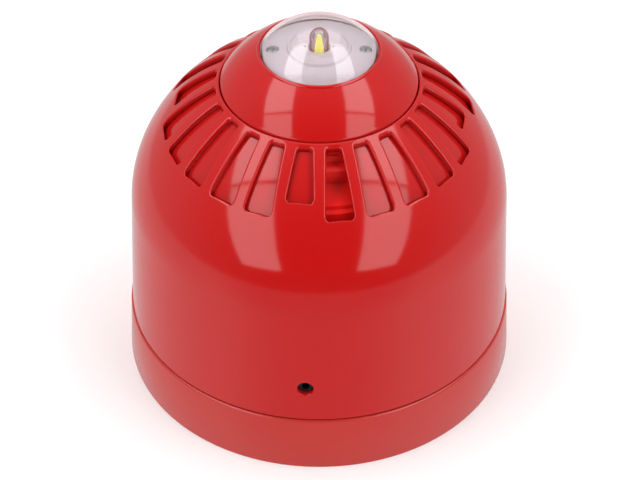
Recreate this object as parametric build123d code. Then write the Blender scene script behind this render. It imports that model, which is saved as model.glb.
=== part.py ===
"""Ceiling horn strobe: a red sounder head with an LED beacon, bayoneted onto a round mounting base.

Units are millimetres. The origin is the centre of the base's back face, +Z points out of the ceiling
through the lens, and -Y is the side with the lock screw. Azimuths are measured from -Y towards +X.
"""
from build123d import *
from math import cos, radians, sin
import os

os.makedirs("parts", exist_ok=True)

# Mounting base
BASE_R = 50.0
BASE_TOP_R = 49.2
BASE_H = 15.6
BASE_BORE_R = 47.3
FLOOR = 2.4
SPIGOT_R = 42.5
SPIGOT_IN_R = 40.3
SPIGOT_TOP = 28.2
SHELF_Z = 12.0
SHELF_TOP = 14.5
SLOT_PITCH = 60.0
SLOT_LENGTH = 12.0
HOLE_PITCH = 72.0
FIX_HOLE_R = 2.25
GROMMET_R = 9.0
CABLE_R = 5.0

# Terminals in the base, and the leaf contacts over them
TERMINAL_Y = 25.0
TERMINAL_XS = [-11.4, -3.8, 3.8, 11.4]
TERMINAL_TOP = 13.4
CONTACT_Y = 18.9

# Bayonet between base and head
LUG_CENTRES = [45, 135, 225, 315]
LUG_HALF = 11.0
TWIST = 26.0
BASE_LUG_R = 44.9
BASE_LUG_Z = 20.0
HEAD_LUG_R = 43.0
HEAD_LUG_Z = 17.2
LUG_H = 2.5

# Sounder head
HEAD_Z = 15.9
SKIRT_R = 48.85
DOME_R = 47.38
DOME_Z = 49.45
COLLAR_R = 24.75
COLLAR_Z = 83.62
OPENING_R = 24.35
LIP_R = 24.9
SKIRT_WALL = 2.5
DOME_WALL = 1.4
DIFFUSER_GAP = 0.1
DIFFUSER_WALL = 1.0

# Slots round the dome
SLOTS = 24
SLOT_TOP_R = 25.3
SLOT_END_R = 38.3
SHORT_END_R = 35.6
SLOT_TOP_W = 3.5
SLOT_END_W = 7.1
SHORT_SLOTS = 4
OUTLET_AZIMUTH = 7.5

# Beacon
CAP_R = 24.05
CAP_Z = 82.3
CAP_EDGE_Z = 84.3
RIM_R = 14.4
RIM_Z = 93.2
LENS_TOP = 100.0
LENS_WALL = 1.2
REFLECTOR_R = 12.9
REFLECTOR_SCREW_X = 10.9
OPTIC_R = 2.3
OPTIC_Z = 96.2

# LED platform inside the cap
CLAMP_Z = 88.9
FLANGE_R = 15.8
FLANGE_Z = 89.7
FLANGE_TOP = 90.6
CARRIER_Z = 84.4
CARRIER_TOP = 85.8
LED_BOARD_Z = 87.2
LED_BOARD_TOP = 88.4
DISH_Z = 88.5
DISH_SCREW_Z = 91.4
CAP_SCREW_R = 17.6

# Leads
LEAD_R = 0.65
LEAD_EXIT_Y = 6.0
LEAD_HOLE_Y = 20.5
LEAD_FOOT_Y = 28.5

# Lock screw
LOCK_AZIMUTH = -4.0
LOCK_Z = 26.0
LOCK_R = 2.0

# Boards and sounder
PLATE_Z = 28.6
PLATE_TOP = 30.8
PLATE_R = 42.8
PLATE_SCREW_R = 38.5
BOARD_Z = 34.0
BOARD_T = 1.6
BOARD_TOP = BOARD_Z + BOARD_T
BOARD_R = 36.5
INDUCTOR = (30.0, 4.0)
BOARD_SCREW_R = 29.5
PIEZO_Z = 50.2
PIEZO_R = 20.5
CUP_R = 24.6

# Tone switches and volume control
DIP_WAYS = 6
DIP_PITCH = 2.54
DIP_Y = -16.0
DIP_FACE_Z = 29.2
SLIDER_OFF_Y = DIP_Y - 1.0
VOLUME_X = 17.5
VOLUME_Y = -14.0


def polar(radius, azimuth, z=0.0):
    """Point at a radius and azimuth, measured from -Y towards +X."""
    return Vector(radius * sin(radians(azimuth)), -radius * cos(radians(azimuth)), z)


def turned(shape, azimuth):
    """The shape, made at azimuth 0, turned about Z to its azimuth."""
    return Rot(0, 0, azimuth) * shape


def ring(outer, inner, low, high):
    """A flat-ended ring about Z."""
    height = high - low
    body = Cylinder(outer, height, align=(Align.CENTER, Align.CENTER, Align.MIN))
    bore = Cylinder(inner, height, align=(Align.CENTER, Align.CENTER, Align.MIN))
    return Pos(0, 0, low) * (body - bore)


def disc(radius, low, high, x=0.0, y=0.0):
    """A cylinder standing between two heights."""
    return Pos(x, y, low) * Cylinder(radius, high - low, align=(Align.CENTER, Align.CENTER, Align.MIN))


def block(x, y, low, width, depth, high):
    """A box centred on x and y, standing between two heights."""
    return Pos(x, y, low) * Box(width, depth, high - low, align=(Align.CENTER, Align.CENTER, Align.MIN))


def spun(points):
    """Solid of revolution about Z from a closed outline of (radius, height) points."""
    outline = Polyline([(r, 0, z) for r, z in points], close=True)
    return revolve(make_face(outline), Axis.Z)


def arc_lug(outer, inner, low, high, azimuth, half):
    """A piece of ring spanning an azimuth plus or minus half."""
    face = make_face(
        [
            Line(polar(inner, azimuth - half), polar(outer, azimuth - half)),
            ThreePointArc(polar(outer, azimuth - half), polar(outer, azimuth), polar(outer, azimuth + half)),
            Line(polar(outer, azimuth + half), polar(inner, azimuth + half)),
            ThreePointArc(polar(inner, azimuth + half), polar(inner, azimuth), polar(inner, azimuth - half)),
        ]
    )
    return Pos(0, 0, low) * extrude(face, high - low, dir=(0, 0, 1))


def joined(shapes):
    """Separate solids kept side by side in one node."""
    return Compound(children=list(shapes))


def dome_curve(offset):
    """The dome's outline from skirt to collar, moved inwards by an offset."""
    slope = Vector(DOME_R - SKIRT_R, 0, DOME_Z - HEAD_Z).normalized()
    start = Vector(DOME_R, 0, DOME_Z)
    end = Vector(COLLAR_R, 0, COLLAR_Z)
    bend = start + slope * 17.8
    crown = Vector(31.0, 0, 80.3)
    curve = Bezier(start, bend, crown, end)
    if offset == 0:
        return curve
    steps = 14
    points = []
    for i in range(steps + 1):
        t = i / steps
        tangent = curve.tangent_at(t)
        inward = Vector(-tangent.Z, 0, tangent.X)
        points.append(curve.position_at(t) + inward * offset)
    return Spline(points)


def dome_share(curve, radius):
    """How far along the curve the dome reaches a radius, from 0 at the skirt to 1 at the collar."""
    low, high = 0.0, 1.0
    for _ in range(40):
        middle = (low + high) / 2
        if curve.position_at(middle).X > radius:
            low = middle
        else:
            high = middle
    return low


def head_skin():
    """Solid of revolution of the head's outer shell before its slots."""
    outer = dome_curve(0)
    full_inner = dome_curve(DOME_WALL)
    inner = full_inner.trim(0, dome_share(full_inner, LIP_R))
    lines = [
        Line((SKIRT_R - 0.4, 0, HEAD_Z), (SKIRT_R, 0, HEAD_Z + 0.4)),
        Line((SKIRT_R, 0, HEAD_Z + 0.4), outer @ 0),
        outer,
        Line(outer @ 1, (OPENING_R + 0.1, 0, COLLAR_Z + 0.15)),
        Line((OPENING_R + 0.1, 0, COLLAR_Z + 0.15), (OPENING_R, 0, COLLAR_Z + 0.05)),
        Line((OPENING_R, 0, COLLAR_Z + 0.05), (OPENING_R, 0, CAP_Z - 0.1)),
        Line((OPENING_R, 0, CAP_Z - 0.1), (OPENING_R - 1.1, 0, CAP_Z - 0.1)),
        Line((OPENING_R - 1.1, 0, CAP_Z - 0.1), (OPENING_R - 1.1, 0, CAP_Z - 1.5)),
        Line((OPENING_R - 1.1, 0, CAP_Z - 1.5), (inner @ 1).X * Vector(1, 0, 0) + Vector(0, 0, CAP_Z - 1.5)),
        Line((inner @ 1).X * Vector(1, 0, 0) + Vector(0, 0, CAP_Z - 1.5), inner @ 1),
        inner,
        Line(inner @ 0, (DOME_R - SKIRT_WALL, 0, DOME_Z - 6)),
        Line((DOME_R - SKIRT_WALL, 0, DOME_Z - 6), (SKIRT_R - SKIRT_WALL, 0, HEAD_Z)),
        Line((SKIRT_R - SKIRT_WALL, 0, HEAD_Z), (SKIRT_R - 0.4, 0, HEAD_Z)),
    ]
    return revolve(make_face(lines), Axis.Z)


def slot_cutter(end_r, margin=0.0, depth=30.0):
    """Tapered slot at azimuth 0, cutting down the dome from above."""
    top = SLOT_TOP_W / 2 + margin
    end = SLOT_END_W / 2 + margin
    end *= 1 if end_r > SHORT_END_R else 0.95
    outline = Polyline(
        [
            (-top, -(SLOT_TOP_R - margin)),
            (top, -(SLOT_TOP_R - margin)),
            (end, -(end_r + margin)),
            (-end, -(end_r + margin)),
        ],
        close=True,
    )
    face = fillet(make_face(outline).vertices(), 0.8)
    return Pos(0, 0, 90 - depth) * extrude(face, depth)


def slot_azimuths():
    """Azimuth and end radius of every slot."""
    pitch = 360 / SLOTS
    short_every = SLOTS // SHORT_SLOTS
    places = []
    for i in range(SLOTS):
        short = i % short_every == 0
        places.append((-OUTLET_AZIMUTH + i * pitch, SHORT_END_R if short else SLOT_END_R))
    return places


def lock_cylinder(radius, inner_r, outer_r):
    """A cylinder along the lock screw's axis, between two radii."""
    length = outer_r - inner_r
    rod = Rot(90, 0, 0) * Cylinder(radius, length, align=(Align.CENTER, Align.CENTER, Align.MIN))
    return turned(Pos(0, -inner_r, LOCK_Z) * rod, LOCK_AZIMUTH)


def mounting_base():
    """Round base with floor, spigot, bayonet lugs, fixing holes and a seal shelf."""
    body = spun(
        [
            (0, 0),
            (BASE_R, 0),
            (BASE_TOP_R + 0.02, BASE_H - 0.4),
            (BASE_TOP_R - 0.4, BASE_H),
            (BASE_BORE_R, BASE_H),
            (BASE_BORE_R, SHELF_TOP),
            (SPIGOT_R, SHELF_TOP),
            (SPIGOT_R, SPIGOT_TOP),
            (SPIGOT_IN_R, SPIGOT_TOP),
            (SPIGOT_IN_R, FLOOR),
            (0, FLOOR),
        ]
    )
    body -= ring(BASE_BORE_R, SPIGOT_R, FLOOR, SHELF_Z)
    for azimuth in LUG_CENTRES:
        body += arc_lug(BASE_LUG_R, SPIGOT_R - 0.5, BASE_LUG_Z, BASE_LUG_Z + LUG_H, azimuth, LUG_HALF)
        locked_stop = azimuth - LUG_HALF - 2.5
        open_stop = azimuth + LUG_HALF + TWIST + 2.5
        for stop in (locked_stop, open_stop):
            body += arc_lug(BASE_LUG_R, SPIGOT_R - 0.5, BASE_H + 0.8, BASE_LUG_Z + 0.5, stop, 1.0)
    for i in range(12):
        rib = block(0, -(BASE_BORE_R + SPIGOT_R) / 2, FLOOR, 1.4, BASE_BORE_R - SPIGOT_R + 0.6, SHELF_Z)
        body += turned(rib, 15 + 30 * i)
    for side in (-1, 1):
        slot = SlotOverall(SLOT_LENGTH, 2 * FIX_HOLE_R)
        body -= Pos(side * SLOT_PITCH / 2, 0, -1) * extrude(slot, FLOOR + 2)
        body -= disc(FIX_HOLE_R, -1, FLOOR + 1, 0, side * HOLE_PITCH / 2)
    body -= disc(GROMMET_R, -1, FLOOR + 1)
    body -= disc(GROMMET_R + 3.5, -1, 1.0)
    knockout = Rot(90, 0, 0) * Cylinder(4.2, 2.5)
    for azimuth in (90, 180, 270):
        body -= turned(Pos(0, -BASE_BORE_R, 7.2) * knockout, azimuth)
    return body


def cable_grommet():
    """Rubber grommet that grips the floor's edge, with a short spout for the cable."""
    return spun(
        [
            (CABLE_R, 0),
            (GROMMET_R + 3.3, 0),
            (GROMMET_R + 3.3, 1.0),
            (GROMMET_R, 1.0),
            (GROMMET_R, FLOOR),
            (GROMMET_R + 2.6, FLOOR),
            (GROMMET_R + 2.2, FLOOR + 1.2),
            (CABLE_R + 1.6, FLOOR + 1.6),
            (CABLE_R + 1.0, 8.0),
            (CABLE_R, 8.0),
        ]
    )


def head_seal():
    """Rubber sealing ring on the base's shelf."""
    return ring(BASE_BORE_R - 0.2, SPIGOT_R + 0.2, SHELF_TOP, BASE_H - 0.1)


def terminal_block():
    """Four-way terminal housing with a wire mouth and a screw well for each way."""
    body = block(0, TERMINAL_Y, FLOOR, 32, 10.5, TERMINAL_TOP)
    body = chamfer(body.faces().sort_by(Axis.Z)[-1].edges(), 0.6)
    for x in TERMINAL_XS:
        body -= block(x, TERMINAL_Y - 1.5, 4.0, 5.4, 8.5, 9.6)
        body -= disc(2.8, 9.0, TERMINAL_TOP + 1, x, TERMINAL_Y - 0.5)
    return body


def terminal_screws():
    """Slotted terminal screws, one in each well."""
    screws = []
    for x in TERMINAL_XS:
        screw = disc(2.5, 10.4, 12.6, x, TERMINAL_Y - 0.5) + disc(1.45, 7.2, 10.5, x, TERMINAL_Y - 0.5)
        screw -= block(x, TERMINAL_Y - 0.5, 11.6, 6, 0.8, 13)
        screws.append(screw)
    return joined(screws)


def terminal_clamps():
    """Rising steel clamps that press the wire up in each way."""
    clamps = []
    for x in TERMINAL_XS:
        cage = block(x, TERMINAL_Y - 1.0, 4.2, 4.8, 5.6, 9.4)
        cage -= block(x, TERMINAL_Y - 1.0, 5.2, 3.6, 8, 8.4)
        cage -= disc(1.6, 8.0, 10, x, TERMINAL_Y - 0.5)
        clamps.append(cage)
    return joined(clamps)


def contact_springs():
    """Leaf contacts that rise from the terminals and bear on the head's contact pads."""
    springs = []
    for x in TERMINAL_XS:
        foot_y = TERMINAL_Y + 6.4
        path = FilletPolyline(
            (x, foot_y, 3.2),
            (x, foot_y, 17.0),
            (x, foot_y - 8.5, 25.5),
            (x, foot_y - 12.0, 27.6),
            (x, foot_y - 15.0, 26.0),
            radius=1.6,
        )
        springs.append(sweep(Pos(x, foot_y, 3.2) * Rectangle(3.4, 0.5), path=path))
    return joined(springs)


def head_shell():
    """Outer shell: skirt, slotted dome, collar, bayonet lugs, screw posts and the lock screw's boss."""
    shell = head_skin()
    cutters = [turned(slot_cutter(end_r), azimuth) for azimuth, end_r in slot_azimuths()]
    below = disc(60, 0, 64)
    shell -= [cutter - below for cutter in cutters]
    for azimuth in LUG_CENTRES:
        outer = SKIRT_R - SKIRT_WALL + 0.6
        shell += arc_lug(outer, HEAD_LUG_R, HEAD_LUG_Z, HEAD_LUG_Z + LUG_H, azimuth, LUG_HALF)
        post = disc(3.2, PLATE_TOP, 64.0, 0, -PLATE_SCREW_R)
        post += block(0, -(PLATE_SCREW_R + 4.0), PLATE_TOP, 2.0, 8.0, 50.0)
        post += block(0, -(PLATE_SCREW_R + 2.2), 50.0, 2.0, 4.6, 60.0)
        post -= disc(1.3, PLATE_TOP - 1, PLATE_TOP + 11, 0, -PLATE_SCREW_R)
        shell += turned(post, azimuth)
    shell += lock_cylinder(4.0, SPIGOT_R + 0.8, SKIRT_R - SKIRT_WALL + 0.6)
    shell -= lock_cylinder(LOCK_R, SPIGOT_R - 2, SKIRT_R + 2)
    return shell


def lock_screw():
    """Hexagon-socket grub screw that bears on the base's spigot."""
    screw = lock_cylinder(LOCK_R - 0.05, SPIGOT_R + 0.8, SPIGOT_R + 4.8)
    tip = lock_cylinder(LOCK_R + 1, SPIGOT_R + 0.6, SPIGOT_R + 1.4) - lock_cylinder(
        LOCK_R - 0.6, SPIGOT_R + 0.6, SPIGOT_R + 1.4
    )
    screw -= tip
    socket = Rot(90, 0, 0) * extrude(RegularPolygon(1.0, 6, major_radius=False), 2.2)
    screw -= turned(Pos(0, -(SPIGOT_R + 2.7), LOCK_Z) * socket, LOCK_AZIMUTH)
    return screw


def sound_diffuser():
    """Inner dome close behind the slots, with one window for the sound."""
    outer = dome_curve(DOME_WALL + DIFFUSER_GAP)
    inner = dome_curve(DOME_WALL + DIFFUSER_GAP + DIFFUSER_WALL)
    lines = [
        outer,
        Line(outer @ 1, inner @ 1),
        inner,
        Line(inner @ 0, outer @ 0),
    ]
    dome = revolve(make_face(lines), Axis.Z)
    dome -= disc(60, 40, 68.2)
    dome -= disc(LIP_R + 0.1, 70, 90)
    dome -= turned(slot_cutter(SLOT_END_R, margin=0.15), OUTLET_AZIMUTH)
    return dome


def horn_ring():
    """Horn with a round throat over the piezo disc, and stepped rings and a splash wall under the slots."""
    horn = spun(
        [
            (6.0, 56.0),
            (6.0, 60.0),
            (10.0, 66.0),
            (17.0, 70.5),
            (23.5, 73.0),
            (23.5, 80.1),
            (24.9, 80.1),
            (25.1, 78.4),
            (27.9, 77.7),
            (28.1, 74.4),
            (33.7, 72.1),
            (33.8, 71.1),
            (35.0, 70.7),
            (35.1, 67.8),
            (38.6, 67.8),
            (39.0, 66.0),
            (39.0, 64.0),
            (33.6, 64.0),
            (33.6, 69.4),
            (26.6, 72.4),
            (26.6, 76.2),
            (25.1, 76.6),
            (25.1, 71.4),
            (17.8, 68.6),
            (11.4, 64.6),
            (7.6, 59.4),
            (7.6, 57.6),
            (CUP_R, 57.6),
            (CUP_R, 50.8),
            (CUP_R - 1.6, 50.8),
            (CUP_R - 1.6, 56.0),
        ]
    )
    for azimuth in LUG_CENTRES:
        horn -= arc_lug(25.02, 22.9, 77.2, 81.5, azimuth, 14)
    return horn - disc(2.6, 66, 75, 0, LEAD_HOLE_Y)


def resonator_cup():
    """Rear chamber that holds the piezo disc's rim, on three legs over the main board."""
    cup = disc(CUP_R, 42.0, 50.8) - disc(CUP_R - 1.6, 50.2, 51) - disc(PIEZO_R - 2.0, 43.6, 51)
    for azimuth in (30, 150, 270):
        leg = disc(2.4, BOARD_TOP, 42.0, 0, -(CUP_R - 3.0))
        cup += turned(leg, azimuth)
    cup -= disc(1.6, 41, 45, -4.0, 8.0)
    cup -= disc(1.6, 41, 45, 4.0, 8.0)
    return cup


def piezo_diaphragm():
    """Brass vibrating disc."""
    return disc(PIEZO_R, PIEZO_Z, PIEZO_Z + 0.3)


def piezo_ceramic():
    """Silvered ceramic disc bonded under the brass."""
    return disc(12.5, PIEZO_Z - 0.3, PIEZO_Z)


def piezo_gasket():
    """Soft ring between the diaphragm's rim and the horn's chamber."""
    return ring(PIEZO_R + 2.4, PIEZO_R - 1.4, PIEZO_Z + 0.3, PIEZO_Z + 1.0) + ring(
        PIEZO_R + 2.4, PIEZO_R, PIEZO_Z, PIEZO_Z + 0.5
    )


def chassis_plate():
    """Back plate of the head, with windows for the tone switches and the volume control."""
    plate = disc(PLATE_R, PLATE_Z, PLATE_TOP)
    plate += ring(PLATE_R - 5.5, PLATE_R - 7.0, PLATE_TOP - 0.1, PLATE_TOP + 1.2)
    for azimuth in LUG_CENTRES:
        sink = Cone(2.9, 1.5, 1.6, align=(Align.CENTER, Align.CENTER, Align.MIN))
        plate -= turned(Pos(0, -PLATE_SCREW_R, PLATE_Z) * sink, azimuth)
        plate -= turned(disc(1.7, PLATE_Z, PLATE_TOP + 2, 0, -PLATE_SCREW_R), azimuth)
        plate -= turned(disc(3.6, PLATE_TOP, PLATE_TOP + 2, 0, -PLATE_SCREW_R), azimuth)
    for azimuth in (0, 120, 240):
        plate += turned(disc(3.0, PLATE_TOP - 0.1, BOARD_Z, 0, -BOARD_SCREW_R), azimuth)
        plate -= turned(disc(1.0, PLATE_TOP, BOARD_Z + 1, 0, -BOARD_SCREW_R), azimuth)
    plate -= block(0, DIP_Y, PLATE_Z - 1, DIP_WAYS * DIP_PITCH + 3.0, 8.0, PLATE_TOP + 1)
    plate -= disc(5.4, PLATE_Z - 1, PLATE_TOP + 1, VOLUME_X, VOLUME_Y)
    for x in TERMINAL_XS:
        plate -= block(x, CONTACT_Y, PLATE_TOP - 0.6, 3.0, 5.4, PLATE_TOP + 1)
    return plate


def chassis_screws():
    """Countersunk screws that hold the back plate to the shell's posts."""
    screws = []
    for azimuth in LUG_CENTRES:
        cone = Cone(2.8, 1.4, 1.55, align=(Align.CENTER, Align.CENTER, Align.MIN))
        head = Pos(0, -PLATE_SCREW_R, PLATE_Z) * cone
        shank = disc(1.25, PLATE_Z + 1.0, PLATE_TOP + 9.0, 0, -PLATE_SCREW_R)
        cross = block(0, -PLATE_SCREW_R, PLATE_Z - 1, 3.0, 0.7, PLATE_Z + 0.8)
        cross += block(0, -PLATE_SCREW_R, PLATE_Z - 1, 0.7, 3.0, PLATE_Z + 0.8)
        screws.append(turned(head + shank - cross, azimuth))
    return joined(screws)


def head_contacts():
    """Plated contact pads under the back plate, one over each leaf contact."""
    return joined(block(x, CONTACT_Y, PLATE_Z - 0.35, 4.4, 7.0, PLATE_Z) for x in TERMINAL_XS)


def main_board():
    """Round circuit board of the head."""
    board = disc(BOARD_R, BOARD_Z, BOARD_TOP)
    for azimuth in LUG_CENTRES:
        board -= turned(disc(4.0, BOARD_Z - 1, BOARD_Z + 3, 0, -PLATE_SCREW_R), azimuth)
    for azimuth in (0, 120, 240):
        board -= turned(disc(1.2, BOARD_Z - 1, BOARD_Z + 3, 0, -BOARD_SCREW_R), azimuth)
    return board


def board_screws():
    """Pan-head screws of the main board."""
    screws = []
    for azimuth in (0, 120, 240):
        top = BOARD_TOP
        screw = disc(2.2, top, top + 1.5, 0, -BOARD_SCREW_R)
        screw += disc(0.95, PLATE_TOP + 0.6, top + 0.5, 0, -BOARD_SCREW_R)
        screw -= block(0, -BOARD_SCREW_R, top + 0.8, 2.6, 0.6, top + 2)
        screw -= block(0, -BOARD_SCREW_R, top + 0.8, 0.6, 2.6, top + 2)
        screws.append(turned(screw, azimuth))
    return joined(screws)


def inductor_core():
    """Ferrite drum of the step-up inductor that drives the piezo disc."""
    low = BOARD_TOP
    lower_flange = disc(4.5, low, low + 1.2, *INDUCTOR)
    upper_flange = disc(4.5, low + 4.0, low + 5.2, *INDUCTOR)
    return lower_flange + disc(2.0, low, low + 5.2, *INDUCTOR) + upper_flange


def inductor_winding():
    """Copper winding between the drum's flanges."""
    low = BOARD_TOP + 1.2
    high = low + 2.8
    return disc(4.0, low, high, *INDUCTOR) - disc(2.0, low, high, *INDUCTOR)


def capacitors():
    """Electrolytic capacitors standing on the board, outside the resonator cup."""
    low = BOARD_TOP
    places = [(-30.0, 6.0, 4.0, 11.0), (-30.5, -4.5, 4.0, 11.0), (-26.5, -15.0, 3.2, 8.0)]
    return joined(disc(r, low, low + h, x, y) for x, y, r, h in places)


def controller_chip():
    """Controller package on top of the board."""
    low = BOARD_TOP
    chip = block(0, 4, low + 0.2, 7.0, 7.0, low + 1.6)
    for i in range(7):
        chip += block(-2.7 + 0.9 * i, 4, low, 0.4, 9.0, low + 0.35)
    return chip


def dip_xs():
    """Centre of each tone switch along X."""
    return [(i - (DIP_WAYS - 1) / 2) * DIP_PITCH for i in range(DIP_WAYS)]


def dip_housing():
    """Housing of the tone switches, facing the back of the head."""
    body = block(0, DIP_Y, DIP_FACE_Z, DIP_WAYS * DIP_PITCH + 2.2, 7.0, BOARD_Z)
    for x in dip_xs():
        body -= block(x, DIP_Y, DIP_FACE_Z - 1, 1.5, 4.0, DIP_FACE_Z + 1.4)
    return body


def dip_slider(x):
    """One tone switch's slider, in its off position."""
    body = block(x, SLIDER_OFF_Y, DIP_FACE_Z - 0.6, 0.9, 1.5, DIP_FACE_Z + 1.2)
    return body + block(x, SLIDER_OFF_Y, DIP_FACE_Z + 0.3, 1.1, 1.7, DIP_FACE_Z + 1.2)


def volume_body():
    """Square body of the volume control."""
    body = block(VOLUME_X, VOLUME_Y, DIP_FACE_Z + 0.2, 7.0, 7.0, BOARD_Z)
    return body - disc(2.55, DIP_FACE_Z - 1, DIP_FACE_Z + 1.6, VOLUME_X, VOLUME_Y)


def volume_rotor():
    """Slotted rotor of the volume control, with a pointer notch."""
    rotor = disc(2.5, DIP_FACE_Z - 0.2, DIP_FACE_Z + 1.5, VOLUME_X, VOLUME_Y)
    rotor -= block(VOLUME_X, VOLUME_Y, DIP_FACE_Z - 1, 3.6, 0.8, DIP_FACE_Z + 0.5)
    return rotor - disc(0.4, DIP_FACE_Z - 1, DIP_FACE_Z + 0.3, VOLUME_X, VOLUME_Y - 1.7)


def beacon_cap():
    """Conical cap that clips into the collar and holds the lens."""
    shoulder = (RIM_R + 0.75, 0, RIM_Z - 0.55)
    middle = (20.05, 0, 88.85)
    edge = (CAP_R - 0.25, 0, CAP_EDGE_Z + 0.12)
    rim = (RIM_R + 0.2, 0, RIM_Z)
    lines = [
        Line((CAP_R, 0, CAP_Z), (CAP_R, 0, CAP_EDGE_Z - 0.4)),
        ThreePointArc((CAP_R, 0, CAP_EDGE_Z - 0.4), (CAP_R - 0.08, 0, CAP_EDGE_Z - 0.12), edge),
        ThreePointArc(edge, middle, shoulder),
        ThreePointArc(shoulder, (RIM_R + 0.52, 0, RIM_Z - 0.12), rim),
        Line(rim, (RIM_R, 0, RIM_Z - 0.1)),
        Line((RIM_R, 0, RIM_Z - 0.1), (RIM_R, 0, FLANGE_TOP + 0.1)),
        Line((RIM_R, 0, FLANGE_TOP + 0.1), (FLANGE_R + 0.2, 0, FLANGE_TOP + 0.1)),
        Line((FLANGE_R + 0.2, 0, FLANGE_TOP + 0.1), (FLANGE_R + 0.2, 0, 89.4)),
        Line((FLANGE_R + 0.2, 0, 89.4), (22.2, 0, 83.6)),
        Line((22.2, 0, 83.6), (22.2, 0, CAP_Z)),
        Line((22.2, 0, CAP_Z), (CAP_R, 0, CAP_Z)),
    ]
    cap = revolve(make_face(lines), Axis.Z)
    for azimuth in (45, 135, 225, 315):
        cap += arc_lug(23.1, 22.3, CAP_Z - 3.4, CAP_Z + 0.2, azimuth, 9)
        cap += arc_lug(23.9, 22.4, CAP_Z - 3.4, CAP_Z - 1.8, azimuth, 8.8)
    for azimuth in (0, 120, 240):
        cap += turned(disc(1.9, CARRIER_TOP + 0.1, CLAMP_Z, 0, -CAP_SCREW_R), azimuth)
        cap -= turned(disc(0.8, CARRIER_TOP - 0.8, CLAMP_Z - 0.3, 0, -CAP_SCREW_R), azimuth)
    return cap


def crown(edge_r, edge_z, top_z):
    """Spherical crown's outline, from its edge up to the axis."""
    rise = top_z - edge_z
    sphere_r = (edge_r**2 + rise**2) / (2 * rise)
    middle_r = edge_r / 2
    middle_z = top_z - sphere_r + (sphere_r**2 - middle_r**2) ** 0.5
    return ThreePointArc((edge_r, 0, edge_z), (middle_r, 0, middle_z), (0, 0, top_z))


def lens():
    """Clear crowned lens with a clamping flange."""
    side = RIM_R - 0.12
    inner = side - LENS_WALL
    lines = [
        Line((inner, 0, FLANGE_Z), (FLANGE_R, 0, FLANGE_Z)),
        Line((FLANGE_R, 0, FLANGE_Z), (FLANGE_R, 0, FLANGE_TOP)),
        Line((FLANGE_R, 0, FLANGE_TOP), (side, 0, FLANGE_TOP)),
        Line((side, 0, FLANGE_TOP), (side, 0, RIM_Z)),
        crown(side, RIM_Z, LENS_TOP),
        Line((0, 0, LENS_TOP), (0, 0, LENS_TOP - LENS_WALL)),
        crown(inner, RIM_Z - 0.7, LENS_TOP - LENS_WALL),
        Line((inner, 0, RIM_Z - 0.7), (inner, 0, FLANGE_Z)),
    ]
    return revolve(make_face(lines), Axis.Z)


def lens_seal():
    """Soft ring that presses the lens flange against the cap."""
    return ring(FLANGE_R - 0.2, FLANGE_R - 1.8, CLAMP_Z, FLANGE_Z)


def lamp_carrier():
    """Platform that carries the LED board and clamps the lens from below."""
    body = disc(19.4, CARRIER_Z, CARRIER_TOP)
    body += ring(FLANGE_R - 0.2, FLANGE_R - 1.8, CARRIER_TOP - 0.1, CLAMP_Z)
    for azimuth in (60, 180, 300):
        body += turned(disc(1.8, CARRIER_TOP - 0.1, LED_BOARD_Z, 0, -11.0), azimuth)
    for azimuth in (0, 120, 240):
        body -= turned(disc(2.1, CARRIER_TOP, CLAMP_Z + 1, 0, -CAP_SCREW_R), azimuth)
        body -= turned(disc(1.1, CARRIER_Z - 0.4, CLAMP_Z, 0, -CAP_SCREW_R), azimuth)
    return body - disc(3.0, CARRIER_Z - 0.4, CARRIER_TOP + 0.2, 0, LEAD_EXIT_Y)


def carrier_screws():
    """Screws that pull the lamp carrier up into the cap."""
    screws = []
    for azimuth in (0, 120, 240):
        screw = disc(1.8, CARRIER_Z - 1.4, CARRIER_Z, 0, -CAP_SCREW_R)
        screw += disc(0.78, CARRIER_Z - 0.1, CLAMP_Z - 0.5, 0, -CAP_SCREW_R)
        slot_top = CARRIER_Z - 0.8
        screw -= block(0, -CAP_SCREW_R, CARRIER_Z - 2, 2.2, 0.5, slot_top)
        screw -= block(0, -CAP_SCREW_R, CARRIER_Z - 2, 0.5, 2.2, slot_top)
        screws.append(turned(screw, azimuth))
    return joined(screws)


def led_board():
    """Round board under the reflector."""
    board = disc(13.7, LED_BOARD_Z, LED_BOARD_TOP)
    for side in (-1, 1):
        board -= disc(0.85, LED_BOARD_Z - 1, LED_BOARD_TOP + 1, side * REFLECTOR_SCREW_X, 0)
    return board


def led_emitter():
    """LED package with its tapered lit core."""
    low = LED_BOARD_TOP + 1.0
    core = spun([(0, low), (1.6, low), (0.6, OPTIC_Z + 0.8), (0, OPTIC_Z + 0.8)])
    return block(0, 0, LED_BOARD_TOP, 3.3, 3.3, low + 0.1) + core


def led_optic():
    """Clear bullet-shaped optic, hollow over the lit core."""
    low = LED_BOARD_TOP + 1.2
    top = OPTIC_Z + OPTIC_R
    bend = (OPTIC_R * cos(radians(45)), 0, OPTIC_Z + OPTIC_R * sin(radians(45)))
    lines = [
        Line((1.75, 0, low), (OPTIC_R, 0, low)),
        Line((OPTIC_R, 0, low), (OPTIC_R, 0, OPTIC_Z)),
        ThreePointArc((OPTIC_R, 0, OPTIC_Z), bend, (0, 0, top)),
        Line((0, 0, top), (0, 0, OPTIC_Z + 1.35)),
        Line((0, 0, OPTIC_Z + 1.35), (0.75, 0, OPTIC_Z + 1.0)),
        Line((0.75, 0, OPTIC_Z + 1.0), (1.75, 0, low)),
    ]
    return revolve(make_face(lines), Axis.Z)


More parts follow.
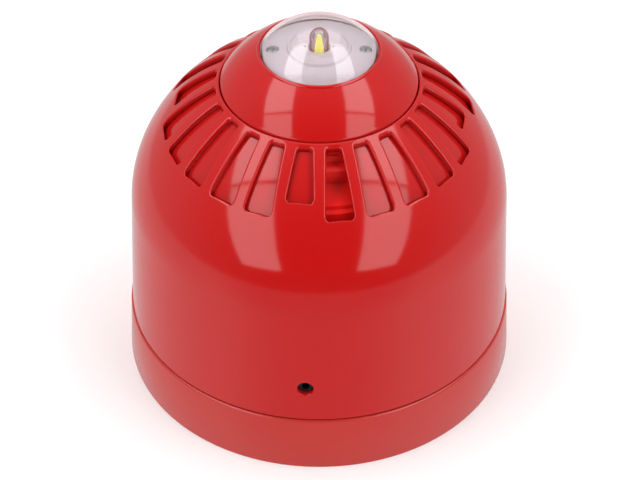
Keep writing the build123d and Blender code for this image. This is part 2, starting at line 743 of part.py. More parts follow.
def reflector():
    """White dish with a raised middle, a hole for the optic and two screw recesses."""
    body = spun(
        [
            (2.6, DISH_Z),
            (13.6, DISH_Z),
            (13.6, DISH_Z + 0.9),
            (REFLECTOR_R, DISH_Z + 1.1),
            (REFLECTOR_R, 92.5),
            (12.2, 92.6),
            (7.7, 93.3),
            (7.45, 94.0),
            (6.95, 94.1),
            (6.6, 93.8),
            (2.6, 93.8),
        ]
    )
    for side in (-1, 1):
        body -= disc(1.5, DISH_SCREW_Z, DISH_SCREW_Z + 3, side * REFLECTOR_SCREW_X, 0)
        body -= disc(0.85, DISH_Z - 1, DISH_SCREW_Z + 1, side * REFLECTOR_SCREW_X, 0)
        body -= disc(0.35, DISH_SCREW_Z + 1.2, DISH_SCREW_Z + 4, side * 3.3, 0)
    return body


def reflector_screws():
    """Screws that hold the reflector and the LED board together."""
    screws = []
    for side in (-1, 1):
        x = side * REFLECTOR_SCREW_X
        screw = disc(1.3, DISH_SCREW_Z, DISH_SCREW_Z + 0.9, x, 0)
        screw += disc(0.75, LED_BOARD_Z + 0.2, DISH_SCREW_Z + 0.1, x, 0)
        screw -= block(x, 0, DISH_SCREW_Z + 0.5, 0.4, 1.8, DISH_SCREW_Z + 2)
        screws.append(screw)
    return joined(screws)


def lead(points, radius, bend):
    """Insulated wire along straight runs joined by tangent arcs."""
    path = FilletPolyline(*points, radius=bend)
    start = Plane(origin=path @ 0, z_dir=path % 0)
    return sweep(start * Circle(radius), path=path)


def led_lead(x):
    """Wire from the LED board, past the horn and the cup, to the main board."""
    points = [
        (x, LEAD_EXIT_Y, LED_BOARD_Z),
        (x, LEAD_EXIT_Y, 80.5),
        (x, LEAD_HOLE_Y, 76.0),
        (x, LEAD_HOLE_Y, 66.0),
        (x, LEAD_FOOT_Y, 61.0),
        (x, LEAD_FOOT_Y, BOARD_TOP),
    ]
    return lead(points, LEAD_R, 3.0)


def piezo_lead(x, high):
    """Wire from the piezo disc through the cup's floor to the main board."""
    top = BOARD_TOP
    points = [(x, 8.0, high), (x, 8.0, 41.5), (x * 1.5, 9.5, 38.5), (x * 1.5, 9.5, top)]
    return lead(points, 0.5, 1.2)


parts = {
    "mounting_base": mounting_base(),
    "cable_grommet": cable_grommet(),
    "head_seal": head_seal(),
    "terminal_block": terminal_block(),
    "terminal_screws": terminal_screws(),
    "terminal_clamps": terminal_clamps(),
    "contact_springs": contact_springs(),
    "head_shell": head_shell(),
    "lock_screw": lock_screw(),
    "sound_diffuser": sound_diffuser(),
    "horn_ring": horn_ring(),
    "resonator_cup": resonator_cup(),
    "piezo_diaphragm": piezo_diaphragm(),
    "piezo_ceramic": piezo_ceramic(),
    "piezo_gasket": piezo_gasket(),
    "chassis_plate": chassis_plate(),
    "chassis_screws": chassis_screws(),
    "head_contacts": head_contacts(),
    "main_board": main_board(),
    "board_screws": board_screws(),
    "inductor_core": inductor_core(),
    "inductor_winding": inductor_winding(),
    "capacitors": capacitors(),
    "controller_chip": controller_chip(),
    "dip_housing": dip_housing(),
    "volume_body": volume_body(),
    "volume_rotor": volume_rotor(),
    "beacon_cap": beacon_cap(),
    "lens": lens(),
    "lens_seal": lens_seal(),
    "lamp_carrier": lamp_carrier(),
    "carrier_screws": carrier_screws(),
    "led_board": led_board(),
    "led_emitter": led_emitter(),
    "led_optic": led_optic(),
    "reflector": reflector(),
    "reflector_screws": reflector_screws(),
    "led_lead_red": led_lead(-1.2),
    "led_lead_black": led_lead(1.2),
    "piezo_lead_red": piezo_lead(-4.0, PIEZO_Z - 0.3),
    "piezo_lead_black": piezo_lead(4.0, PIEZO_Z - 0.3),
}
for number, slider_x in enumerate(dip_xs(), start=1):
    parts[f"dip_slider_{number}"] = dip_slider(slider_x)

for name, shape in parts.items():
    export_step(shape, f"parts/{name}.step")
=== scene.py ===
"""Horn strobe: the looks. A red sounder head with an LED beacon on its round mounting base.

The frame is the CAD model's: the origin is the centre of the base's back face, +Z points out through the
lens, and -Y is the lock screw's side. Blender's objects are in metres. The object's sizes, outlines and
mesh data here are in millimetres until new_object makes a mesh of them. The studio's are in metres.
"""
from math import atan2, cos, degrees, hypot, pi, radians, sin, sqrt

import bmesh
import bpy
from mathutils import Matrix, Vector


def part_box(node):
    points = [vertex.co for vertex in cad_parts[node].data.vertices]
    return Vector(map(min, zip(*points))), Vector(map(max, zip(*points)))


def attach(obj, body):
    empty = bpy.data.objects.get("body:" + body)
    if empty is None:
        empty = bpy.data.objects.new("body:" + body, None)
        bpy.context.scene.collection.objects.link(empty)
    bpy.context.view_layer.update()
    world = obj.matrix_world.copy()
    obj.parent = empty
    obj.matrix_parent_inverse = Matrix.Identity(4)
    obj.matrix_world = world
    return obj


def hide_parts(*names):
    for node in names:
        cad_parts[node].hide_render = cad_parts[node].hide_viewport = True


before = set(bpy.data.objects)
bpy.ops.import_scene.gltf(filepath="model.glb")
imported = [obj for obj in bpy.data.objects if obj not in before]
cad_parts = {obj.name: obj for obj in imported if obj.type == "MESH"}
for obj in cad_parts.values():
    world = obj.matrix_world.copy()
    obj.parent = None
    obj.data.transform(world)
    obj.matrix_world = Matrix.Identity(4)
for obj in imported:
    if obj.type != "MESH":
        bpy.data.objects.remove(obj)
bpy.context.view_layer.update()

MM = 0.001
STEPS = 192                  # sides of a turned piece
SHARP_ANGLE = 32.0           # edges sharper than this stay hard
WELD = 0.002 * MM            # points closer than this become one after a cut


# ---------------------------------------------------------------- sizes in mm, some read from the frame

def low(node):
    """A CAD node's lowest corner in millimetres."""
    return [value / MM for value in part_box(node)[0]]


def high(node):
    """A CAD node's highest corner in millimetres."""
    return [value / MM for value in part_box(node)[1]]


# Mounting base
BASE_R = 50.0
BASE_TOP_R = 49.2
BASE_H = 15.6
BASE_BORE_R = 47.3
FLOOR = 2.4
SPIGOT_R = 42.5
SPIGOT_IN_R = 40.3
SPIGOT_TOP = high("mounting_base")[2]
SHELF_Z = 12.0
SHELF_TOP = 14.5
SLOT_PITCH = 60.0
SLOT_LENGTH = 12.0
HOLE_PITCH = 72.0
FIX_HOLE_R = 2.25
KNOCK_OUT_R = 4.2
KNOCK_OUT_Z = 7.2
BASE_RIBS = 12
GROMMET_R = 9.0
GROMMET_FLANGE_R = GROMMET_R + 3.5
GROMMET_TOP = 8.0
CABLE_R = 5.0

# Bayonet
LUG_CENTRES = (45, 135, 225, 315)
LUG_HALF = 11.0
LUG_H = 2.5
TWIST = 26.0
BASE_LUG_R = 44.9
BASE_LUG_Z = 20.0
HEAD_LUG_R = 43.0
HEAD_LUG_Z = 17.2

# Head shell
HEAD_Z = low("head_shell")[2]
SKIRT_R = 48.85
SKIRT_WALL = 2.5
DOME_R = 47.38
DOME_Z = 49.45
DOME_WALL = 1.4
DOME_REACH = 17.8            # how far the dome follows the skirt's slope
DOME_SHOULDER = (31.0, 80.3)
COLLAR_R = 24.75
COLLAR_Z = 83.62
OPENING_R = 24.35
LEDGE_R = OPENING_R - 1.1
POST_FROM_AXIS = 38.5
POST_R = 3.2
POST_BORE_R = 1.3
POST_BORE_DEPTH = 11.0
POST_FOOT = 30.8
POST_TOP = 64.0
POST_RIB_W = 2.0

# Slots in the dome
SLOTS = 24
OUTLET_AZIMUTH = 7.5
SLOT_TOP_R = 25.3
SLOT_END_R = 38.3
SHORT_END_R = 35.6
SLOT_TOP_W = 3.5
SLOT_END_W = 7.1
SLOT_CORNER = 0.9
SLOT_EDGE = 0.5

# Sound diffuser and horn ring
LIP_R = 24.9
DIFFUSER_GAP = 0.1
DIFFUSER_WALL = 1.0
DIFFUSER_LOW = 68.2
CUP_R = 24.6
LEAD_HOLE_R = 2.6
LEAD_HOLE_Y = 20.5

# Beacon: cap, lens, dish and LED
CAP_R = 24.05
CAP_Z = 82.3
CAP_EDGE_Z = 84.3
CAP_SCREW_R = 17.6
RIM_R = 14.4
RIM_Z = 93.2
LENS_TOP = high("lens")[2]
LENS_WALL = 1.2
LENS_EDGE_WALL = 0.7
LENS_FLANGE_R = 15.8
REFLECTOR_R = 13.4
SCREW_X = 10.9
SCREW_SEAT_Z = 91.4
WINDOW_X = 3.3
OPTIC_R = 2.3
OPTIC_Z = 96.2

# Lock screw
LOCK_AZIMUTH = -4.0
LOCK_Z = (low("lock_screw")[2] + high("lock_screw")[2]) / 2
LOCK_R = 2.0
BOSS_R = 4.0
BOSS_IN = SPIGOT_R + 0.8
KEY_WIDTH = 2.0


# ---------------------------------------------------------------- mesh helpers

def polar(radius, azimuth, z=0.0):
    """Point at a radius and an azimuth, measured from -Y towards +X."""
    return (radius * sin(radians(azimuth)), -radius * cos(radians(azimuth)), z)


def new_object(name, verts, faces, normals=None, angle=SHARP_ANGLE):
    """A mesh object from points in millimetres. Vertices with a normal get it as their own."""
    mesh = bpy.data.meshes.new(name)
    mesh.from_pydata([(x * MM, y * MM, z * MM) for x, y, z in verts], [], faces)
    mesh.validate()
    clean = bmesh.new()
    clean.from_mesh(mesh)
    bmesh.ops.recalc_face_normals(clean, faces=clean.faces)
    clean.to_mesh(mesh)
    clean.free()
    mesh.shade_smooth()
    mesh.set_sharp_from_angle(angle=radians(angle))
    if normals:
        mesh.normals_split_custom_set_from_vertices(normals)
    piece = bpy.data.objects.new(name, mesh)
    bpy.context.scene.collection.objects.link(piece)
    return piece


def rounded(corners, segments=6):
    """Outline whose corners (r, z, fillet radius) are rounded with tangent arcs."""
    outline = []
    count = len(corners)
    for i, (r, z, fillet) in enumerate(corners):
        if fillet <= 0:
            outline.append((r, z))
            continue
        here = Vector((r, z))
        before = (Vector(corners[i - 1][:2]) - here)
        after = (Vector(corners[(i + 1) % count][:2]) - here)
        half = before.angle(after) / 2
        reach = min(fillet / max(sin(half) / cos(half), 1e-6), before.length * 0.49, after.length * 0.49)
        radius = reach * sin(half) / cos(half)
        first = here + before.normalized() * reach
        last = here + after.normalized() * reach
        middle = here + (before.normalized() + after.normalized()).normalized() * (radius / sin(half))
        start = first - middle
        sweep = start.angle_signed(last - middle)
        for k in range(segments + 1):
            turn = Matrix.Rotation(-sweep * k / segments, 2)
            outline.append(tuple(middle + turn @ start))
    return outline


def lathe_data(outline, steps=STEPS, x=0.0, y=0.0):
    """Vertices and faces of a closed outline of (r, z) points turned about a vertical axis."""
    verts, faces, rings = [], [], []
    for r, z in outline:
        if r < 1e-6:
            rings.append([len(verts)] * steps)
            verts.append((x, y, z))
            continue
        rings.append(list(range(len(verts), len(verts) + steps)))
        for k in range(steps):
            turn = 2 * pi * k / steps
            verts.append((x + r * sin(turn), y - r * cos(turn), z))
    for i, ring in enumerate(rings):
        other = rings[(i + 1) % len(rings)]
        if len(set(ring)) == 1 and len(set(other)) == 1:
            continue
        for k in range(steps):
            n = (k + 1) % steps
            face = [ring[k], ring[n], other[n], other[k]]
            faces.append(list(dict.fromkeys(face)))
    return verts, faces


def lathe(name, outline, steps=STEPS, angle=SHARP_ANGLE):
    """A turned piece."""
    verts, faces = lathe_data(outline, steps)
    return new_object(name, verts, faces, angle=angle)


def prism_data(outline, low_z, high_z, edge=0.0, rings=3):
    """A straight block over a flat outline of (x, y) points, with its upper and lower edges softened."""
    middle = Vector((sum(p[0] for p in outline), sum(p[1] for p in outline))) / len(outline)
    levels = []
    for k in range(rings + 1):
        turn = pi / 2 * k / rings
        levels.append((edge * (1 - sin(turn)), low_z + edge * (1 - cos(turn))))
    levels += [(inset, low_z + high_z - z) for inset, z in reversed(levels)]
    verts, faces = [], []
    count = len(outline)
    for inset, z in levels:
        for p in outline:
            away = Vector(p) - middle
            spot = middle + away * (1 - inset / max(away.length, 1e-6))
            verts.append((spot.x, spot.y, z))
    for level in range(len(levels) - 1):
        for k in range(count):
            n = (k + 1) % count
            a, b = level * count, (level + 1) * count
            faces.append([a + k, a + n, b + n, b + k])
    faces.append(list(range(count))[::-1])
    faces.append([(len(levels) - 1) * count + k for k in range(count)])
    return verts, faces


def box_outline(x, y, width, depth, corner=0.3, segments=3):
    """Flat outline of a rectangle with rounded corners."""
    w, d = width / 2, depth / 2
    corners = [(x - w, y - d, corner), (x + w, y - d, corner), (x + w, y + d, corner), (x - w, y + d, corner)]
    return rounded(corners, segments)


def merged(parts):
    """Several (vertices, faces) joined into one."""
    verts, faces = [], []
    for more_verts, more_faces in parts:
        start = len(verts)
        verts += more_verts
        faces += [[i + start for i in face] for face in more_faces]
    return verts, faces


def turned_data(data, azimuth):
    """Vertices and faces turned about Z."""
    turn = Matrix.Rotation(radians(azimuth), 3, "Z")
    return [tuple(turn @ Vector(v)) for v in data[0]], data[1]


def cut(piece, cutters):
    """Cuts closed meshes out of a piece, drops the cutters and leaves one clean closed mesh."""
    for verts, faces in cutters:
        tool = new_object("cutter", verts, faces)
        modifier = piece.modifiers.new("cut", "BOOLEAN")
        modifier.operation = "DIFFERENCE"
        modifier.solver = "EXACT"
        modifier.object = tool
        graph = bpy.context.evaluated_depsgraph_get()
        result = bpy.data.meshes.new_from_object(piece.evaluated_get(graph), depsgraph=graph)
        piece.modifiers.clear()
        old = piece.data
        piece.data = result
        result.name = piece.name
        bpy.data.meshes.remove(old)
        tool_mesh = tool.data
        bpy.data.objects.remove(tool)
        bpy.data.meshes.remove(tool_mesh)
    clean = bmesh.new()
    clean.from_mesh(piece.data)
    bmesh.ops.remove_doubles(clean, verts=clean.verts, dist=WELD)
    bmesh.ops.dissolve_degenerate(clean, edges=clean.edges, dist=WELD)
    open_edges = [edge for edge in clean.edges if edge.is_boundary]
    bmesh.ops.holes_fill(clean, edges=open_edges, sides=0)
    if clean.calc_volume(signed=True) < 0:
        bmesh.ops.reverse_faces(clean, faces=clean.faces)
    clean.to_mesh(piece.data)
    clean.free()
    piece.data.shade_smooth()
    piece.data.set_sharp_from_angle(angle=radians(SHARP_ANGLE))
    return piece


# ---------------------------------------------------------------- the dome's outline

def bezier(t):
    """Point and upward tangent of the dome's outline, in (r, z), from the skirt at 0 to the collar at 1."""
    slope = Vector((DOME_R - SKIRT_R, DOME_Z - HEAD_Z)).normalized()
    p0 = Vector((DOME_R, DOME_Z))
    p1 = p0 + slope * DOME_REACH
    p2 = Vector(DOME_SHOULDER)
    p3 = Vector((COLLAR_R, COLLAR_Z))
    s = 1 - t
    point = p0 * s**3 + p1 * 3 * s * s * t + p2 * 3 * s * t * t + p3 * t**3
    tangent = (p1 - p0) * s * s + (p2 - p1) * 2 * s * t + (p3 - p2) * t * t
    return point, tangent.normalized()


def dome_points(offset, count=160):
    """The dome's outline moved inwards, from the skirt to the collar."""
    points = []
    for i in range(count + 1):
        point, tangent = bezier(i / count)
        points.append((point.x - tangent.y * offset, point.y + tangent.x * offset))
    return points


DOME_LINES = {}              # outlines of the dome, by their distance inwards


def dome_z(radius, offset=0.0):
    """Height of the dome's surface, or of a surface inside it, at a radius."""
    if offset not in DOME_LINES:
        DOME_LINES[offset] = dome_points(offset)
    line = DOME_LINES[offset]
    for (r0, z0), (r1, z1) in zip(line, line[1:]):
        if r1 <= radius <= r0:
            share = (r0 - radius) / max(r0 - r1, 1e-9)
            return z0 + (z1 - z0) * share
    return line[0][1] if radius > line[0][0] else line[-1][1]


def dome_normal(radius):
    """Outward normal of the dome at a radius, in (r, z)."""
    lo, hi = 0.0, 1.0
    for _ in range(30):
        mid = (lo + hi) / 2
        if bezier(mid)[0].x > radius:
            lo = mid
        else:
            hi = mid
    tangent = bezier(lo)[1]
    return tangent.y, -tangent.x


# ---------------------------------------------------------------- head shell

COLUMNS = 12                 # mesh columns across each slot's sector
SIDE_ROWS = 22               # mesh rows down its sides
CORNER_STEPS = 6
EDGE_STEPS = 5
CELL_TOP_R = COLLAR_R
CELL_END_R = 42.0
LOCK_BAND = (LOCK_Z + 5.5, LOCK_Z - 5.5)         # mesh patch round the lock screw, as heights
LOCK_COLUMNS = (3, 15)                           # and as mesh columns
LOCK_ROWS = 10
LOCK_EDGE = 0.3
SKIRT_EDGE = 0.4


def slot_outline(end_r, grow=0.0):
    """Slot outline seen along Z at azimuth 0, as (across, radius), starting at the middle of a corner."""
    top, end = SLOT_TOP_W / 2, SLOT_END_W / 2
    end *= 1 if end_r > SHORT_END_R else 0.95
    corners = [
        Vector((-top, SLOT_TOP_R)),
        Vector((top, SLOT_TOP_R)),
        Vector((end, end_r)),
        Vector((-end, end_r)),
    ]
    arcs = []
    for i, here in enumerate(corners):
        before = (corners[i - 1] - here).normalized()
        after = (corners[(i + 1) % 4] - here).normalized()
        half = before.angle(after) / 2
        middle = here + (before + after).normalized() * (SLOT_CORNER / sin(half))
        start, finish = before.orthogonal(), after.orthogonal()
        start = -start if start.dot(here - middle) < 0 else start
        finish = -finish if finish.dot(here - middle) < 0 else finish
        turn = start.angle_signed(finish)
        arc = []
        for k in range(CORNER_STEPS + 1):
            arc.append(middle + Matrix.Rotation(-turn * k / CORNER_STEPS, 2) @ start * (SLOT_CORNER + grow))
        arcs.append(arc)
    counts = [COLUMNS - CORNER_STEPS, SIDE_ROWS - CORNER_STEPS] * 2
    half_arc = CORNER_STEPS // 2
    points = []
    for i in range(4):
        arc, following = arcs[i], arcs[(i + 1) % 4]
        points += arc[half_arc:]
        for k in range(1, counts[i]):
            points.append(arc[-1].lerp(following[0], k / counts[i]))
        points += following[:half_arc]
    return [(p.x, p.y) for p in points]


def cell_outline():
    """The sector's border as (azimuth, radius), matching slot_outline point by point."""
    half = 180 / SLOTS
    points = []
    for k in range(COLUMNS):
        points.append((-half + 2 * half * k / COLUMNS, CELL_TOP_R))
    for k in range(SIDE_ROWS):
        points.append((half, CELL_TOP_R + (CELL_END_R - CELL_TOP_R) * k / SIDE_ROWS))
    for k in range(COLUMNS):
        points.append((half - 2 * half * k / COLUMNS, CELL_END_R))
    for k in range(SIDE_ROWS):
        points.append((-half, CELL_END_R - (CELL_END_R - CELL_TOP_R) * k / SIDE_ROWS))
    return points


class Shell:
    """Collects the head shell's vertices, with shared points welded, and its faces."""

    def __init__(self):
        self.verts, self.normals, self.faces, self.known = [], [], [], {}

    def point(self, position, normal=(0, 0, 0)):
        """Number of the vertex at a position, with no normal of its own by default."""
        key = tuple(round(value, 4) for value in position)
        if key not in self.known:
            self.known[key] = len(self.verts)
            self.verts.append(tuple(position))
            self.normals.append(tuple(normal))
        return self.known[key]

    def band(self, first, second):
        """Faces between two closed rows of vertex numbers."""
        for k in range(len(first)):
            n = (k + 1) % len(first)
            face = list(dict.fromkeys([first[k], first[n], second[n], second[k]]))
            if len(face) > 2:
                self.faces.append(face)


def surface_normal(radius, azimuth):
    """Outward normal of the dome in space."""
    r, z = dome_normal(radius)
    return polar(r, azimuth, z)


def slot_cell(shell, azimuth, end_r, rows=7):
    """One sector of the dome with its slot: outer skin, softened edge, walls and inner skin."""
    border = cell_outline()
    rim = [(degrees(atan2(x, y)), hypot(x, y)) for x, y in slot_outline(end_r, SLOT_EDGE)]
    outer, inner = [], []
    for row in range(rows + 1):
        share = (row / rows) ** 1.25
        outer_row, inner_row = [], []
        for (a0, r0), (a1, r1) in zip(rim, border):
            a, r = a0 + (a1 - a0) * share, r0 + (r1 - r0) * share
            turn = azimuth + a
            outer_row.append(shell.point(polar(r, turn, dome_z(r)), surface_normal(r, turn)))
            inner_row.append(shell.point(polar(r, turn, dome_z(r, DOME_WALL))))
        outer.append(outer_row)
        inner.append(inner_row)
    for row in range(rows):
        shell.band(outer[row], outer[row + 1])
        shell.band(inner[row + 1], inner[row])
    last = outer[0]
    for k in range(1, EDGE_STEPS + 1):
        turn = pi / 2 * k / EDGE_STEPS
        grow = SLOT_EDGE * (1 - sin(turn))
        drop = SLOT_EDGE * (1 - cos(turn))
        ring = []
        for x, y in slot_outline(end_r, grow):
            r = hypot(x, y)
            ring.append(shell.point(polar(r, azimuth + degrees(atan2(x, y)), dome_z(r) - drop)))
        shell.band(ring, last)
        last = ring
    foot = []
    for x, y in slot_outline(end_r):
        r = hypot(x, y)
        foot.append(shell.point(polar(r, azimuth + degrees(atan2(x, y)), dome_z(r, DOME_WALL))))
    shell.band(foot, last)
    shell.band(inner[0], foot)


def column_azimuth(k):
    """Azimuth of one of the shell's mesh columns, counted from a sector's edge."""
    return -OUTLET_AZIMUTH - 180 / SLOTS + 360 / (SLOTS * COLUMNS) * k


def skirt_r(z):
    """Radius of the skirt's outer face at a height."""
    return SKIRT_R + (DOME_R - SKIRT_R) * (z - HEAD_Z) / (DOME_Z - HEAD_Z)


def skirt_inner_r(z):
    """Radius of the skirt's inner face at a height."""
    return skirt_r(z) - SKIRT_WALL


def lock_band_heights():
    """Heights of the mesh rows beside the lock screw."""
    return [LOCK_BAND[0] - (LOCK_BAND[0] - LOCK_BAND[1]) * k / LOCK_ROWS for k in range(LOCK_ROWS + 1)]


def skirt_rows():
    """Rows (radius, height, normal) of the outer skin below the slots' sectors, down to the skirt's edge."""
    line = [p for p in dome_points(0, 60) if p[0] > CELL_END_R + 0.3]
    rows = [(r, z, dome_normal(r)) for r, z in reversed(line)]
    slope = Vector((DOME_Z - HEAD_Z, SKIRT_R - DOME_R)).normalized()
    heights = [DOME_Z - (DOME_Z - LOCK_BAND[0]) * k / 8 for k in range(1, 8)]
    heights += lock_band_heights()
    heights += [LOCK_BAND[1] - 1.6, LOCK_BAND[1] - 3.2, HEAD_Z + 0.45]
    rows += [(skirt_r(z), z, tuple(slope)) for z in heights]
    edge = skirt_r(HEAD_Z) - SKIRT_EDGE
    for k in range(1, 5):
        turn = pi / 2 * k / 4
        rows.append((edge + SKIRT_EDGE * cos(turn), HEAD_Z + SKIRT_EDGE * (1 - sin(turn)), (0, 0)))
    return rows


def inner_rows():
    """Rows of the inner skin, from the sectors down to the skirt's lower edge."""
    rows = [p for p in reversed(dome_points(DOME_WALL, 40)) if p[0] > CELL_END_R + 0.3]
    rows.append((skirt_inner_r(DOME_Z - 6), DOME_Z - 6))
    heights = [38.0, 34.5] + lock_band_heights() + [LOCK_BAND[1] - 2.0, HEAD_Z + 0.2]
    rows += [(skirt_inner_r(z), z) for z in heights]
    rows.append((skirt_inner_r(HEAD_Z) + 0.2, HEAD_Z))
    return rows


def lock_point(across, z, radius):
    """Point at a distance across the lock screw's axis, on the cylinder of a radius."""
    turn = atan2(across, sqrt(max(radius**2 - across**2, 0.0)))
    return polar(radius, LOCK_AZIMUTH + degrees(turn), z)


def no_normal(point):
    """Stands for a vertex that keeps the normal of its faces."""
    return (0, 0, 0)


def lock_patch(shell, border, radius_at, hole_r, normal=no_normal, rows=4):
    """Skin between a rectangle of border points and a circle round the lock screw, and the circle's turns."""
    flat = []
    for x, y, z in border:
        turn = atan2(x, -y) - radians(LOCK_AZIMUTH)
        flat.append((hypot(x, y) * sin(turn), z))
    turns = [atan2(z - LOCK_Z, s) for s, z in flat]
    last = [shell.point(p, normal(p)) for p in border]
    for row in range(1, rows + 1):
        share = row / rows
        ring = []
        for (s, z), turn in zip(flat, turns):
            across = s + (hole_r * cos(turn) - s) * share
            height = z + (LOCK_Z + hole_r * sin(turn) - z) * share
            p = lock_point(across, height, radius_at(height))
            ring.append(shell.point(p, normal(p)))
        shell.band(last, ring)
        last = ring
    return last, turns


def patch_border(spot):
    """Border points of the lock screw's patch, clockwise, each from its row and column."""
    first, last = LOCK_COLUMNS
    border = [(0, column) for column in range(first, last)]
    border += [(row, last) for row in range(LOCK_ROWS)]
    border += [(LOCK_ROWS, column) for column in range(last, first, -1)]
    border += [(row, first) for row in range(LOCK_ROWS, 0, -1)]
    return [spot(row, column) for row, column in border]


def skin_rows(shell, rows, start, outward):
    """Joins rows of a skin under a row of vertex numbers, leaving the lock screw's patch open."""
    count = SLOTS * COLUMNS
    previous = start
    heights = [round(row[1], 3) for row in rows]
    open_from = heights.index(round(LOCK_BAND[0], 3))
    for i, row in enumerate(rows):
        r, z = row[0], row[1]
        ring = []
        for k in range(count):
            azimuth = column_azimuth(k)
            normal = polar(row[2][0], azimuth, row[2][1]) if outward and any(row[2]) else (0, 0, 0)
            ring.append(shell.point(polar(r, azimuth, z), normal))
        for k in range(count):
            n = (k + 1) % count
            in_band = open_from < i <= open_from + LOCK_ROWS
            if not (in_band and LOCK_COLUMNS[0] <= k < LOCK_COLUMNS[1]):
                shell.faces.append([previous[k], previous[n], ring[n], ring[k]])
        previous = ring

    def spot(row, column):
        r, z = rows[open_from + row][:2]
        return polar(r, column_azimuth(column), z)

    return previous, patch_border(spot)


def post_data(azimuth):
    """A screw post with its stepped rib to the skirt."""
    bore_top = POST_FOOT + POST_BORE_DEPTH
    outline = [
        (POST_BORE_R, POST_FOOT, 0), (POST_R, POST_FOOT, 0.3), (POST_R, POST_TOP, 0.3),
        (0, POST_TOP, 0), (0, bore_top, 0), (POST_BORE_R, bore_top, 0),
    ]
    tube = lathe_data(rounded(outline), 40, 0.0, -POST_FROM_AXIS)
    rib = prism_data(box_outline(0, -(POST_FROM_AXIS + 5.4), POST_RIB_W, 5.2), POST_FOOT, 50.0, 0.2)
    tall = prism_data(box_outline(0, -(POST_FROM_AXIS + 3.8), POST_RIB_W, 2.8), 49.0, 60.0, 0.2)
    return turned_data(merged([tube, rib, tall]), azimuth)


def arc_data(outer, inner, low_z, high_z, azimuth, half, steps=16, edge=0.25):
    """A softened piece of ring."""
    corners = [(inner, low_z, edge), (outer, low_z, edge), (outer, high_z, edge), (inner, high_z, edge)]
    outline = rounded(corners, 3)
    verts, faces = [], []
    count = len(outline)
    for k in range(steps + 1):
        turn = azimuth - half + 2 * half * k / steps
        verts += [polar(r, turn, z) for r, z in outline]
    for k in range(steps):
        for i in range(count):
            n = (i + 1) % count
            faces.append([k * count + i, k * count + n, (k + 1) * count + n, (k + 1) * count + i])
    faces.append(list(range(count)))
    faces.append([steps * count + i for i in range(count)][::-1])
    return verts, faces


def head_shell():
    """The head's outer shell as one closed skin, with its posts and lugs."""
    shell = Shell()
    for i in range(SLOTS):
        short = i % (SLOTS // 4) == 0
        slot_cell(shell, -OUTLET_AZIMUTH + 360 / SLOTS * i, SHORT_END_R if short else SLOT_END_R)

    def row_at(radius, z):
        return [shell.point(polar(radius, column_azimuth(k), z)) for k in range(SLOTS * COLUMNS)]

    outer_start = row_at(CELL_END_R, dome_z(CELL_END_R))
    inner_start = row_at(CELL_END_R, dome_z(CELL_END_R, DOME_WALL))
    outer_end, outer_border = skin_rows(shell, skirt_rows(), outer_start, True)
    inner_end, inner_border = skin_rows(shell, inner_rows(), inner_start, False)
    shell.band(outer_end, inner_end)

    def skirt_normal(p):
        slope = Vector((DOME_Z - HEAD_Z, SKIRT_R - DOME_R)).normalized()
        return polar(slope.x, degrees(atan2(p[0], -p[1])), slope.y)

    hole, turns = lock_patch(shell, outer_border, skirt_r, LOCK_R + LOCK_EDGE, skirt_normal)
    for k in range(1, 5):
        roll = pi / 2 * k / 4
        rho, drop = LOCK_R + LOCK_EDGE * (1 - sin(roll)), LOCK_EDGE * (1 - cos(roll))
        ring = []
        for turn in turns:
            z = LOCK_Z + rho * sin(turn)
            ring.append(shell.point(lock_point(rho * cos(turn), z, skirt_r(z) - drop)))
        shell.band(hole, ring)
        hole = ring

    def flat_ring(rho, depth):
        aside, facing = radians(LOCK_AZIMUTH), []
        for turn in turns:
            across, z = rho * cos(turn), LOCK_Z + rho * sin(turn)
            x = depth * sin(aside) + across * cos(aside)
            y = -depth * cos(aside) + across * sin(aside)
            facing.append(shell.point((x, y, z)))
        return facing

    inside, face = flat_ring(LOCK_R, BOSS_IN), flat_ring(BOSS_R, BOSS_IN)
    shell.band(hole, inside)
    shell.band(inside, face)
    boss = lock_patch(shell, inner_border, skirt_inner_r, BOSS_R)[0]
    shell.band(face, boss)
    ledge, lip = CAP_Z - 0.1, CAP_Z - 1.5
    inner_top = dome_z(CELL_TOP_R, DOME_WALL)
    collar = [
        (OPENING_R + 0.22, COLLAR_Z + 0.07), (OPENING_R + 0.08, COLLAR_Z + 0.02), (OPENING_R, COLLAR_Z - 0.1),
        (OPENING_R, ledge), (LEDGE_R, ledge), (LEDGE_R, lip), (CELL_TOP_R, lip),
    ]
    last = row_at(CELL_TOP_R, dome_z(CELL_TOP_R))
    for r, z in collar:
        ring = row_at(r, z)
        shell.band(last, ring)
        last = ring
    shell.band(last, row_at(CELL_TOP_R, inner_top))
    extra = []
    lug_root = SKIRT_R - SKIRT_WALL + 0.5
    for azimuth in LUG_CENTRES:
        extra.append(post_data(azimuth))
        extra.append(arc_data(lug_root, HEAD_LUG_R, HEAD_LUG_Z, HEAD_LUG_Z + LUG_H, azimuth, LUG_HALF))
    verts, faces = merged([(shell.verts, shell.faces)] + extra)
    normals = shell.normals + [(0, 0, 0)] * (len(verts) - len(shell.verts))
    return new_object("head_shell_moulding", verts, faces, normals)


# ---------------------------------------------------------------- the other moulded pieces

def rod_data(radius, inner_r, outer_r, azimuth, z, steps=48):
    """A round rod along a radius, between two distances from the Z axis."""
    verts, faces = [], []
    for distance in (inner_r, outer_r):
        for k in range(steps):
            turn = 2 * pi * k / steps
            verts.append((radius * cos(turn), -distance, z + radius * sin(turn)))
    for k in range(steps):
        n = (k + 1) % steps
        faces.append([k, n, steps + n, steps + k])
    faces.append(list(range(steps)))
    faces.append([steps + k for k in range(steps)][::-1])
    return turned_data((verts, faces), azimuth)


def disc_data(radius, x=0.0, y=0.0, low_z=-1.0, high_z=FLOOR + 1, steps=48):
    """An upright round bar, by default one that cuts through the base's floor."""
    return lathe_data([(0, low_z), (radius, low_z), (radius, high_z), (0, high_z)], steps, x, y)


